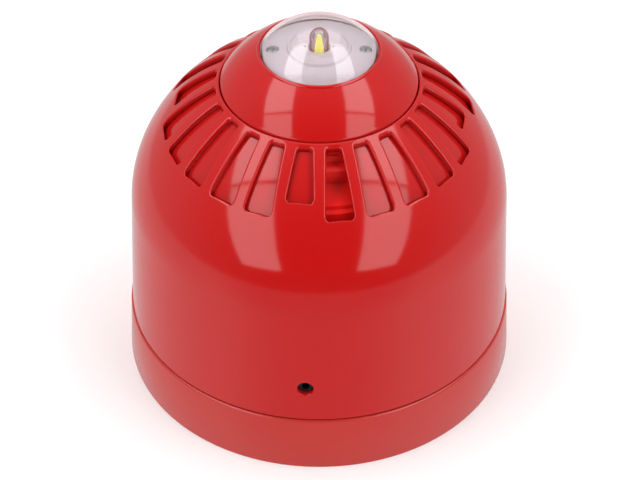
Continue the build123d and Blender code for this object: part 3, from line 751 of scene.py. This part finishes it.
def fixing_slot(side):
    """Outline of a fixing slot, with round ends."""
    reach = SLOT_LENGTH / 2 - FIX_HOLE_R
    slot = []
    for end, first_turn in ((reach, -pi / 2), (-reach, pi / 2)):
        for k in range(33):
            turn = first_turn + pi * k / 32
            slot.append((side * SLOT_PITCH / 2 + end + FIX_HOLE_R * cos(turn), FIX_HOLE_R * sin(turn)))
    return slot


def mounting_base():
    """The round base with its floor, spigot, bayonet lugs, ribs, holes and knock-outs."""
    outline = [
        (0, 0, 0), (BASE_R, 0, 0.35), (BASE_TOP_R, BASE_H, 0.55), (BASE_BORE_R, BASE_H, 0.3),
        (BASE_BORE_R, SHELF_TOP, 0), (SPIGOT_R, SHELF_TOP, 0), (SPIGOT_R, SPIGOT_TOP, 0.4),
        (SPIGOT_IN_R, SPIGOT_TOP, 0.4), (SPIGOT_IN_R, FLOOR, 0.6), (0, FLOOR, 0),
    ]
    body = lathe("mounting_base_moulding", rounded(outline, 4), 288)
    channel = [(SPIGOT_R, FLOOR), (BASE_BORE_R, FLOOR), (BASE_BORE_R, SHELF_Z), (SPIGOT_R, SHELF_Z)]
    cutters = [lathe_data(channel, 288)]
    for side in (-1, 1):
        cutters.append(prism_data(fixing_slot(side), -1, FLOOR + 1))
        cutters.append(disc_data(FIX_HOLE_R, 0, side * HOLE_PITCH / 2))
    cutters.append(disc_data(GROMMET_R, steps=96))
    cutters.append(disc_data(GROMMET_FLANGE_R, high_z=1, steps=96))
    for azimuth in (90, 180, 270):
        cutters.append(rod_data(KNOCK_OUT_R, BASE_BORE_R - 0.5, BASE_BORE_R + 1.25, azimuth, KNOCK_OUT_Z))
    cut(body, cutters)
    extra = []
    lug_root, stop_gap = SPIGOT_R - 0.5, 2.5
    for azimuth in LUG_CENTRES:
        extra.append(arc_data(BASE_LUG_R, lug_root, BASE_LUG_Z, BASE_LUG_Z + LUG_H, azimuth, LUG_HALF))
        for stop in (azimuth - LUG_HALF - stop_gap, azimuth + LUG_HALF + TWIST + stop_gap):
            extra.append(arc_data(BASE_LUG_R, lug_root, BASE_H + 0.8, BASE_LUG_Z + 0.5, stop, 1.0, 2))
    middle, depth = -(BASE_BORE_R + SPIGOT_R) / 2, BASE_BORE_R - SPIGOT_R + 0.6
    rib = prism_data(box_outline(0, middle, 1.4, depth, 0.1), FLOOR - 0.2, SHELF_Z + 0.2)
    for i in range(BASE_RIBS):
        extra.append(turned_data(rib, 15 + 360 / BASE_RIBS * i))
    return with_islands(body, extra)


def with_islands(piece, parts):
    """Adds separate closed meshes to a piece, and keeps its shading."""
    verts, faces = merged(parts)
    more = new_object("more", verts, faces)
    joined = bmesh.new()
    joined.from_mesh(piece.data)
    joined.from_mesh(more.data)
    joined.to_mesh(piece.data)
    joined.free()
    mesh = more.data
    bpy.data.objects.remove(more)
    bpy.data.meshes.remove(mesh)
    piece.data.shade_smooth()
    piece.data.set_sharp_from_angle(angle=radians(SHARP_ANGLE))
    return piece


def cable_grommet():
    """Rubber grommet round the cable's way in."""
    outline = [
        (CABLE_R, 0, 0.3),
        (GROMMET_R + 3.3, 0, 0.4),
        (GROMMET_R + 3.3, 1.0, 0.1),
        (GROMMET_R, 1.0, 0),
        (GROMMET_R, FLOOR, 0),
        (GROMMET_R + 2.6, FLOOR, 0.1),
        (GROMMET_R + 2.2, FLOOR + 1.2, 0.4),
        (CABLE_R + 1.6, FLOOR + 1.6, 0.6),
        (CABLE_R + 1.0, GROMMET_TOP, 0.4),
        (CABLE_R, GROMMET_TOP, 0.3),
    ]
    return lathe("cable_grommet_rubber", rounded(outline, 4), 96)


def sound_diffuser():
    """The inner dome that closes all slots but one."""
    near, far = DOME_WALL + DIFFUSER_GAP, DOME_WALL + DIFFUSER_GAP + DIFFUSER_WALL
    edge_r = LIP_R + 0.1
    outer = [p for p in dome_points(near, 90) if p[0] > edge_r and p[1] > DIFFUSER_LOW]
    inner = [p for p in dome_points(far, 90) if p[0] > edge_r and p[1] > DIFFUSER_LOW]
    outline = outer + [(edge_r, dome_z(edge_r, near)), (edge_r, dome_z(edge_r, far))] + inner[::-1]
    piece = lathe("sound_diffuser_moulding", outline, 240)
    window = [(x, -y) for x, y in slot_outline(SLOT_END_R, 0.15)]
    turn = Matrix.Rotation(radians(OUTLET_AZIMUTH), 2)
    window = [tuple(turn @ Vector(p)) for p in window]
    return cut(piece, [prism_data(window, 60, 90)])


def horn_ring():
    """Horn over the piezo disc, with stepped rings under the slots."""
    horn = [(6.0, 56.0, 0.3), (6.0, 60.0, 1.0), (10.0, 66.0, 2.0), (17.0, 70.5, 2.0), (23.5, 73.0, 0.2)]
    steps = [
        (23.5, 80.1, 0.2), (24.9, 80.1, 0.2), (25.1, 78.4, 0.2), (27.9, 77.7, 0.3), (28.1, 74.4, 0.2),
        (33.7, 72.1, 0.3), (33.8, 71.1, 0.2), (35.0, 70.7, 0.3), (35.1, 67.8, 0.2), (38.6, 67.8, 0.3),
        (39.0, 66.0, 0.3), (39.0, 64.0, 0.3),
    ]
    underside = [
        (33.6, 64.0, 0.3), (33.6, 69.4, 0.2), (26.6, 72.4, 0.2), (26.6, 76.2, 0.2), (25.1, 76.6, 0.2),
        (25.1, 71.4, 0.2), (17.8, 68.6, 2.0), (11.4, 64.6, 2.0), (7.6, 59.4, 0.5), (7.6, 57.6, 0.2),
    ]
    cup = [(CUP_R, 57.6, 0.3), (CUP_R, 50.8, 0.2), (CUP_R - 1.6, 50.8, 0.2), (CUP_R - 1.6, 56.0, 0.2)]
    piece = lathe("horn_ring_moulding", rounded(horn + steps + underside + cup, 4), 144)
    cutters = [disc_data(LEAD_HOLE_R, 0, LEAD_HOLE_Y, 66, 75, 32)]
    for azimuth in LUG_CENTRES:
        cutters.append(arc_data(25.02, 22.9, 77.2, 81.5, azimuth, 14, edge=0.0))
    return cut(piece, cutters)


def arc_through(first, middle, last, steps):
    """Points of the circle's arc through three points, both ends included."""
    (ax, ay), (bx, by), (cx, cy) = first, middle, last
    a, b, c = ax * ax + ay * ay, bx * bx + by * by, cx * cx + cy * cy
    d = 2 * (ax * (by - cy) + bx * (cy - ay) + cx * (ay - by))
    ux = (a * (by - cy) + b * (cy - ay) + c * (ay - by)) / d
    uy = (a * (cx - bx) + b * (ax - cx) + c * (bx - ax)) / d
    radius = hypot(ax - ux, ay - uy)
    start = atan2(ay - uy, ax - ux)
    sweep = (atan2(cy - uy, cx - ux) - start + pi) % (2 * pi) - pi
    turns = [start + sweep * k / steps for k in range(steps + 1)]
    return [(ux + radius * cos(turn), uy + radius * sin(turn)) for turn in turns]


def beacon_cap():
    """The conical cap with its round lower edge, its rim for the lens, hooks and screw posts."""
    shoulder, middle = (RIM_R + 0.75, RIM_Z - 0.55), (20.05, 88.85)
    edge = (CAP_R - 0.25, CAP_EDGE_Z + 0.12)
    outline = [(CAP_R, CAP_Z)]
    outline += arc_through((CAP_R, CAP_EDGE_Z - 0.4), (CAP_R - 0.08, CAP_EDGE_Z - 0.12), edge, 5)
    outline += arc_through(edge, middle, shoulder, 28)[1:]
    outline += arc_through(shoulder, (RIM_R + 0.52, RIM_Z - 0.12), (RIM_R + 0.2, RIM_Z), 5)[1:]
    outline += [(RIM_R + 0.06, RIM_Z - 0.02), (RIM_R, RIM_Z - 0.1), (RIM_R, 90.7)]
    outline += [(16.0, 90.7), (16.0, 89.4), (22.2, 83.6), (22.2, CAP_Z)]
    piece = lathe("beacon_cap_moulding", outline, 288)
    extra = []
    for azimuth in LUG_CENTRES:
        extra.append(arc_data(23.1, 22.3, CAP_Z - 3.4, CAP_Z + 0.2, azimuth, 9, 8, 0.1))
        extra.append(arc_data(23.9, 22.4, CAP_Z - 3.4, CAP_Z - 1.8, azimuth, 8.8, 8, 0.1))
    post = [(0.8, 85.9), (1.9, 85.9), (1.9, 88.9), (0, 88.9), (0, 88.6), (0.8, 88.6)]
    for azimuth in (0, 120, 240):
        extra.append(turned_data(lathe_data(post, 32, 0, -CAP_SCREW_R), azimuth))
    return with_islands(piece, extra)


def crown_points(edge_r, edge_z, top_z, steps=28):
    """Spherical crown's outline from its edge to the axis."""
    rise = top_z - edge_z
    radius = (edge_r**2 + rise**2) / (2 * rise)
    half = atan2(edge_r, radius - rise)
    points = []
    for k in range(steps + 1):
        turn = half * (1 - k / steps)
        points.append((radius * sin(turn) if k < steps else 0.0, top_z - radius + radius * cos(turn)))
    return points


def lens():
    """The clear crowned lens."""
    side = RIM_R - 0.12
    inner = side - LENS_EDGE_WALL
    outline = [(inner, 89.7), (LENS_FLANGE_R, 89.7), (LENS_FLANGE_R, 90.6), (side, 90.6)]
    outline += crown_points(side, RIM_Z, LENS_TOP)
    outline += crown_points(inner, RIM_Z - 0.7, LENS_TOP - LENS_WALL)[::-1]
    return lathe("lens_clear", outline, 192, angle=50)


def reflector():
    """The white dish round the LED."""
    outline = [
        (2.6, 88.5, 0), (13.5, 88.5, 0.2), (13.5, 89.4, 0.2), (REFLECTOR_R, 89.6, 0.1),
        (REFLECTOR_R, 92.4, 0.15), (12.2, 92.6, 0.15), (7.7, 93.3, 0.15), (7.45, 94.0, 0.12),
        (6.95, 94.1, 0.15), (6.6, 93.8, 0.15), (2.6, 93.8, 0.15),
    ]
    piece = lathe("reflector_dish", rounded(outline, 4), 192)
    cutters = []
    for side in (-1, 1):
        cutters.append(disc_data(1.5, side * SCREW_X, 0, SCREW_SEAT_Z, 94, 40))
        cutters.append(disc_data(0.85, side * SCREW_X, 0, 88, 92, 32))
        cutters.append(disc_data(0.35, side * WINDOW_X, 0, 92.6, 95, 20))
    return cut(piece, cutters)


def reflector_screws():
    """Two screws that hold the reflector, with slotted heads."""
    parts = []
    for side in (-1, 1):
        outline = [(0, SCREW_SEAT_Z, 0), (1.3, SCREW_SEAT_Z, 0), (1.3, 92.3, 0.35), (0, 92.3, 0)]
        parts.append(lathe_data(rounded(outline, 4), 40, side * SCREW_X, 0))
        parts.append(disc_data(0.75, side * SCREW_X, 0, 87.4, SCREW_SEAT_Z + 0.1, 24))
    verts, faces = merged(parts)
    piece = new_object("reflector_screw_heads", verts, faces)
    cutters = []
    for side in (-1, 1):
        cutters.append(prism_data(box_outline(side * SCREW_X, 0, 0.4, 1.8, 0.05), 91.9, 93))
    return cut(piece, cutters)


def led_optic():
    """Clear bullet optic, hollow over the core with its painted glow."""
    turns = [pi / 2 * k / 14 for k in range(14)]
    outline = [(1.75, 89.6), (OPTIC_R, 89.6)]
    outline += [(OPTIC_R * cos(turn), OPTIC_Z + OPTIC_R * sin(turn)) for turn in turns]
    outline += [(0.0, OPTIC_Z + OPTIC_R), (0.0, OPTIC_Z + 1.35), (0.75, OPTIC_Z + 1.0)]
    return lathe("led_optic_clear", outline, 64, angle=50)


def led_emitter():
    """LED package with its tapered core, which glows with painted light."""
    package = prism_data(box_outline(0, 0, 3.3, 3.3, 0.2), 88.4, 89.5, 0.1)
    core = rounded([(0, 89.4, 0), (1.6, 89.4, 0), (0.6, 97.0, 0.4), (0, 97.0, 0)], 4)
    verts, faces = merged([package, lathe_data(core, 48)])
    return new_object("led_emitter_core", verts, faces)


def lock_screw():
    """Hexagon-socket grub screw in the skirt."""
    tip, back, cone = BOSS_IN, SPIGOT_R + 4.8, 0.6
    side = LOCK_R - 0.05
    outline = [(0, tip, 0), (side - cone, tip, 0), (side, tip + cone, 0), (side, back, 0.2), (0, back, 0)]
    verts, faces = lathe_data(rounded(outline, 4), 64)
    verts = [(x, -z, LOCK_Z + y) for x, y, z in verts]
    verts, faces = turned_data((verts, faces), LOCK_AZIMUTH)
    piece = new_object("lock_screw_socket", verts, faces)
    across = KEY_WIDTH / 2 / cos(pi / 6)
    hexagon = [(across * cos(pi / 3 * k), LOCK_Z + across * sin(pi / 3 * k)) for k in range(6)]
    socket, socket_faces = prism_data(hexagon, SPIGOT_R + 2.7, SPIGOT_R + 5.5)
    socket = [(x, -z, y) for x, y, z in socket]
    return cut(piece, [turned_data((socket, socket_faces), LOCK_AZIMUTH)])


# ---------------------------------------------------------------- materials

def plastic(name, colour, rough, bump=0.04, grain=900.0, coat=0.0, tint=0.06, metallic=0.0, ior=1.5):
    """A moulded or metal finish with fine relief and broad variation in colour and roughness."""
    material = bpy.data.materials.new(name)
    material.use_nodes = True
    nodes, links = material.node_tree.nodes, material.node_tree.links
    shader = nodes["Principled BSDF"]
    where = nodes.new("ShaderNodeTexCoord")

    def noise(scale, detail):
        texture = nodes.new("ShaderNodeTexNoise")
        texture.inputs["Scale"].default_value = scale
        texture.inputs["Detail"].default_value = detail
        links.new(where.outputs["Object"], texture.inputs["Vector"])
        return texture.outputs["Fac"]

    fine, broad = noise(grain, 4.0), noise(38.0, 3.0)
    rough_range = nodes.new("ShaderNodeMapRange")
    rough_range.inputs["To Min"].default_value = max(rough * 0.75, 0.01)
    rough_range.inputs["To Max"].default_value = rough * 1.3
    links.new(broad, rough_range.inputs["Value"])
    links.new(rough_range.outputs["Result"], shader.inputs["Roughness"])
    mix = nodes.new("ShaderNodeMix")
    mix.data_type = "RGBA"
    mix.inputs["A"].default_value = (*[value * (1 - tint) for value in colour], 1)
    mix.inputs["B"].default_value = (*[min(value * (1 + tint), 1) for value in colour], 1)
    links.new(broad, mix.inputs["Factor"])
    links.new(mix.outputs["Result"], shader.inputs["Base Color"])
    relief = nodes.new("ShaderNodeBump")
    relief.inputs["Strength"].default_value = bump
    relief.inputs["Distance"].default_value = 0.0002
    links.new(fine, relief.inputs["Height"])
    links.new(relief.outputs["Normal"], shader.inputs["Normal"])
    shader.inputs["Metallic"].default_value = metallic
    shader.inputs["IOR"].default_value = ior
    shader.inputs["Coat Weight"].default_value = coat
    shader.inputs["Coat Roughness"].default_value = 0.05
    return material


def glass(name, colour, rough, ior, bump=0.03, grain=400.0):
    """A clear moulding with faint ripple and haze."""
    material = plastic(name, colour, rough, bump=bump, grain=grain, tint=0.01, ior=ior)
    material.node_tree.nodes["Principled BSDF"].inputs["Transmission Weight"].default_value = 1.0
    return material


def edge_painted_reflection(material, painted_reflection_colour, start, end, left_clear):
    """Paints the red of the parts round a clear moulding into it where it is seen edge-on, as a painted
    reflection, and leaves it less clear there.
    """
    nodes, links = material.node_tree.nodes, material.node_tree.links
    shader = nodes["Principled BSDF"]
    body_colour = shader.inputs["Base Color"].links[0].from_socket
    facing = nodes.new("ShaderNodeLayerWeight")
    edge = nodes.new("ShaderNodeMapRange")
    edge.inputs["From Min"].default_value = start
    edge.inputs["From Max"].default_value = end
    links.new(facing.outputs["Facing"], edge.inputs["Value"])
    mix = nodes.new("ShaderNodeMix")
    mix.data_type = "RGBA"
    links.new(edge.outputs["Result"], mix.inputs["Factor"])
    links.new(body_colour, mix.inputs["A"])
    mix.inputs["B"].default_value = (*painted_reflection_colour, 1)
    links.new(mix.outputs["Result"], shader.inputs["Base Color"])
    clear = nodes.new("ShaderNodeMapRange")
    clear.inputs["To Min"].default_value = 1.0
    clear.inputs["To Max"].default_value = left_clear
    links.new(edge.outputs["Result"], clear.inputs["Value"])
    links.new(clear.outputs["Result"], shader.inputs["Transmission Weight"])
    return material


def lit(material, glow, strength):
    """Makes a finish glow: on the LED core this is a painted glow, on the floor its even brightness."""
    shader = material.node_tree.nodes["Principled BSDF"]
    shader.inputs["Emission Color"].default_value = (*glow, 1)
    shader.inputs["Emission Strength"].default_value = strength
    return material


CLEAR = ((0.99, 0.97, 0.98), 0.02, 1.49)         # colour, roughness and index of refraction
CLEAR_OPTIC = ((0.98, 0.95, 0.97), 0.02, 1.49)
PAINTED_YELLOW_GLOW = (0.9, 0.92, 0.12)

FINISHES = {
    "red_plastic": plastic("red_plastic_gloss", (0.5, 0.0075, 0.007), 0.1, bump=0.015, grain=500, tint=0.03),
    # The base's red is its own satin red with the green and blue raised: partly a painted reflection of the
    # floor, which the gloss doesn't show.
    "base_red_plastic": plastic(
        "base_red_satin_painted_floor_reflection", (0.52, 0.030, 0.024), 0.22, bump=0.05, grain=1500, tint=0.03
    ),
    # The horn ring's red is a brighter copy of the shell's red plastic: painted light that lifts the shaded
    # outlet recess.
    "horn_red": plastic("horn_red_painted_brighter", (0.85, 0.014, 0.012), 0.18, bump=0.03, tint=0.03, ior=1.25),
    # The lens and the optic get a painted reflection at their edges: red from the cap round the lens, dark
    # magenta on the optic.
    "clear_lens": edge_painted_reflection(glass("clear_lens_polycarbonate", *CLEAR), (0.75, 0.11, 0.14), 0.6, 1.0, 0.1),
    "led_optic": edge_painted_reflection(glass("led_optic_painted_edge_reflection", *CLEAR_OPTIC), (0.36, 0.006, 0.05), 0.2, 0.5, 0.0),
    "white_plastic": plastic("white_plastic_gloss", (0.86, 0.76, 0.81), 0.25, tint=0.02),
    "natural_plastic": plastic("natural_plastic_matt", (0.72, 0.70, 0.62), 0.45, bump=0.1),
    "black_plastic": plastic("black_plastic_satin", (0.02, 0.02, 0.022), 0.4, bump=0.1, tint=0.2),
    "grey_plastic": plastic("grey_plastic_satin", (0.35, 0.36, 0.37), 0.45, bump=0.1),
    "black_rubber": plastic("black_rubber_matt", (0.018, 0.018, 0.018), 0.7, bump=0.3, tint=0.2),
    "foam": plastic("foam_open_cell", (0.06, 0.06, 0.065), 0.95, bump=0.9, grain=2200, tint=0.25),
    "board": plastic("board_green_mask", (0.01, 0.14, 0.05), 0.3, bump=0.1, tint=0.15, coat=0.3),
    "white_board": plastic("white_board_mask", (0.8, 0.8, 0.78), 0.35, bump=0.06, tint=0.03, coat=0.3),
    "steel": plastic("steel_zinc", (0.62, 0.62, 0.6), 0.28, bump=0.1, grain=1800, metallic=1.0),
    "black_steel": plastic(
        "black_steel_oxide", (0.03, 0.035, 0.04), 0.35, bump=0.15, grain=1800, metallic=0.7, tint=0.2
    ),
    "brass": plastic("brass_plate", (0.75, 0.55, 0.22), 0.25, bump=0.08, grain=1600, metallic=1.0),
    "contact_metal": plastic("contact_plate", (0.8, 0.7, 0.45), 0.22, bump=0.06, grain=1600, metallic=1.0),
    "copper": plastic("copper_wire", (0.75, 0.3, 0.13), 0.25, bump=0.3, grain=2600, metallic=1.0, tint=0.15),
    "ceramic": plastic("ceramic_silvered", (0.75, 0.74, 0.7), 0.35, bump=0.2, grain=1500, metallic=0.6),
    "ferrite": plastic("ferrite_grey", (0.05, 0.05, 0.055), 0.6, bump=0.3, grain=2000, tint=0.2),
    "capacitor_can": plastic("capacitor_sleeve", (0.03, 0.04, 0.09), 0.3, bump=0.05, tint=0.15),
    # The phosphor core's yellow glow is painted light, not a lamp.
    "led_yellow": lit(plastic("led_phosphor_yellow_painted_glow", (0.75, 0.65, 0.06), 0.4, tint=0.03), PAINTED_YELLOW_GLOW, 0.7),
    "blue_plastic": plastic("blue_plastic_trimmer", (0.03, 0.12, 0.5), 0.4, bump=0.08),
    "wire_red": plastic("wire_red_insulation", (0.55, 0.02, 0.02), 0.4, bump=0.08),
    "wire_black": plastic("wire_black_insulation", (0.02, 0.02, 0.02), 0.4, bump=0.08),
}


def finish_nodes():
    """Gives every CAD node its slot's procedural finish."""
    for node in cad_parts.values():
        for place in node.material_slots:
            slot_name = place.material.name.split(".")[0]
            place.material = FINISHES[slot_name]


def add(piece, body, slot_name, node, finish=None):
    """Dresses a piece, by default in its slot's finish, lets it ride and shows it in place of a CAD node."""
    piece.data.materials.clear()
    piece.data.materials.append(FINISHES[finish or slot_name])
    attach(piece, body)
    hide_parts(node)


finish_nodes()
add(mounting_base(), "base", "base_red_plastic", "mounting_base")
add(cable_grommet(), "base", "black_rubber", "cable_grommet")
add(head_shell(), "head", "red_plastic", "head_shell")
add(sound_diffuser(), "head", "red_plastic", "sound_diffuser")
# The horn ring wears the brighter red copy, painted light for the recess under the outlet slot.
add(horn_ring(), "head", "red_plastic", "horn_ring", finish="horn_red")
add(beacon_cap(), "head", "red_plastic", "beacon_cap")
add(lens(), "head", "clear_lens", "lens")
add(reflector(), "head", "white_plastic", "reflector")
add(reflector_screws(), "head", "steel", "reflector_screws")
add(led_optic(), "head", "clear_lens", "led_optic", finish="led_optic")
add(led_emitter(), "head", "led_yellow", "led_emitter")
add(lock_screw(), "lock_screw", "black_steel", "lock_screw")


# ---------------------------------------------------------------- floor, light and camera

LOWER_WATTS = 2.6            # each side light's lower length
UPPER_WATTS = 4.2            # each side light's upper length
TOP_WATTS = 3.0
WORLD_FRONT = 0.02           # glow of the surroundings at the camera's side
WORLD_BACK = 0.5
FLOOR_GLOW_FRONT = 0.40      # glow of what lies below, as the object's gloss sees it
FLOOR_GLOW = 0.76
FLOOR_EMISSION = 0.12
CAMERA_PITCH = 41.36
CAMERA_DISTANCE = 0.580
CAMERA_AIM = 0.032


def floor():
    """A pale studio floor, a hair above the object's underside, that the object's gloss doesn't show."""
    mesh = bpy.data.meshes.new("studio_floor")
    size = 6.0
    level = 0.05 * MM
    corners = [(-size, -size, level), (size, -size, level), (size, size, level), (-size, size, level)]
    mesh.from_pydata(corners, [], [(0, 1, 2, 3)])
    piece = bpy.data.objects.new("studio_floor", mesh)
    bpy.context.scene.collection.objects.link(piece)
    finish = plastic("studio_floor_white", (0.88, 0.88, 0.88), 0.8, bump=0.02, grain=60, tint=0.005)
    piece.data.materials.append(lit(finish, (1, 1, 1), FLOOR_EMISSION))
    piece.visible_glossy = False


def panel(name, centre, across, along, power):
    """A rectangular soft light from its centre and its two half sides, facing the Z axis."""
    data = bpy.data.lights.new(name, "AREA")
    data.shape = "RECTANGLE"
    data.size, data.size_y = 2 * across.length, 2 * along.length
    data.energy = power
    lamp = bpy.data.objects.new(name, data)
    x, y = across.normalized(), along.normalized()
    back = x.cross(y)
    if back.dot(centre) < 0:
        x, back = -x, -back
    lamp.matrix_world = Matrix.Translation(centre) @ Matrix((x, y, back)).transposed().to_4x4()
    bpy.context.scene.collection.objects.link(lamp)


def side_lights(side, name):
    """A long soft light that leans over the object from the front, in two lengths with a thin gap."""
    inner_low = Vector((side * 0.34, -0.92, 0.09))
    across = Vector((side * 0.425, 0.082, -0.05))
    along = Vector((side * -0.067, 0.763, 0.643))
    lengths = (("lower", 0.0, 0.755, LOWER_WATTS), ("upper", 0.78, 1.70, UPPER_WATTS))
    for part, start, end, watts in lengths:
        centre = inner_low + across / 2 + along * (start + end) / 2
        panel(f"soft_{name}_{part}", centre, across / 2, along * (end - start) / 2, watts)


def surroundings():
    """Pale walls at the sides and behind, darker at the camera's side, over a pale ground."""
    world = bpy.data.worlds.new("studio")
    bpy.context.scene.world = world
    world.use_nodes = True
    nodes, links = world.node_tree.nodes, world.node_tree.links
    where = nodes.new("ShaderNodeTexCoord")
    parts = nodes.new("ShaderNodeSeparateXYZ")
    links.new(where.outputs["Generated"], parts.inputs["Vector"])

    def ramp(direction, low_end, high_end, low_value, high_value):
        shade = nodes.new("ShaderNodeMapRange")
        shade.inputs["From Min"].default_value = low_end
        shade.inputs["From Max"].default_value = high_end
        shade.inputs["To Min"].default_value = low_value
        shade.inputs["To Max"].default_value = high_value
        links.new(parts.outputs[direction], shade.inputs["Value"])
        return shade.outputs["Result"]

    mix = nodes.new("ShaderNodeMix")
    links.new(ramp("Z", -0.28, -0.22, 0.0, 1.0), mix.inputs["Factor"])
    links.new(ramp("Y", -0.80, -0.45, FLOOR_GLOW_FRONT, FLOOR_GLOW), mix.inputs["A"])
    links.new(ramp("Y", -0.85, 0.1, WORLD_FRONT, WORLD_BACK), mix.inputs["B"])
    links.new(mix.outputs["Result"], nodes["Background"].inputs["Strength"])
    nodes["Background"].inputs["Color"].default_value = (1, 1, 1, 1)


def camera():
    """The camera, looking down at the front."""
    pitch = radians(CAMERA_PITCH)
    data = bpy.data.cameras.new("camera")
    data.sensor_width = 36.0
    data.lens = 126.4
    data.clip_start, data.clip_end = 0.01, 20.0
    data.shift_x = 0.0013
    piece = bpy.data.objects.new("camera", data)
    piece.location = (0.0, -CAMERA_DISTANCE * cos(pitch), CAMERA_AIM + CAMERA_DISTANCE * sin(pitch))
    piece.rotation_euler = (pi / 2 - pitch, 0.0, 0.0)
    bpy.context.scene.collection.objects.link(piece)
    bpy.context.scene.camera = piece


floor()
camera()
side_lights(-1, "left")
side_lights(1, "right")
panel("soft_top", Vector((0, 0.55, 1.1)), Vector((0.5, 0, 0)), Vector((0, 0.4, -0.2)), TOP_WATTS)
surroundings()
bpy.context.scene.view_settings.view_transform = "Standard"
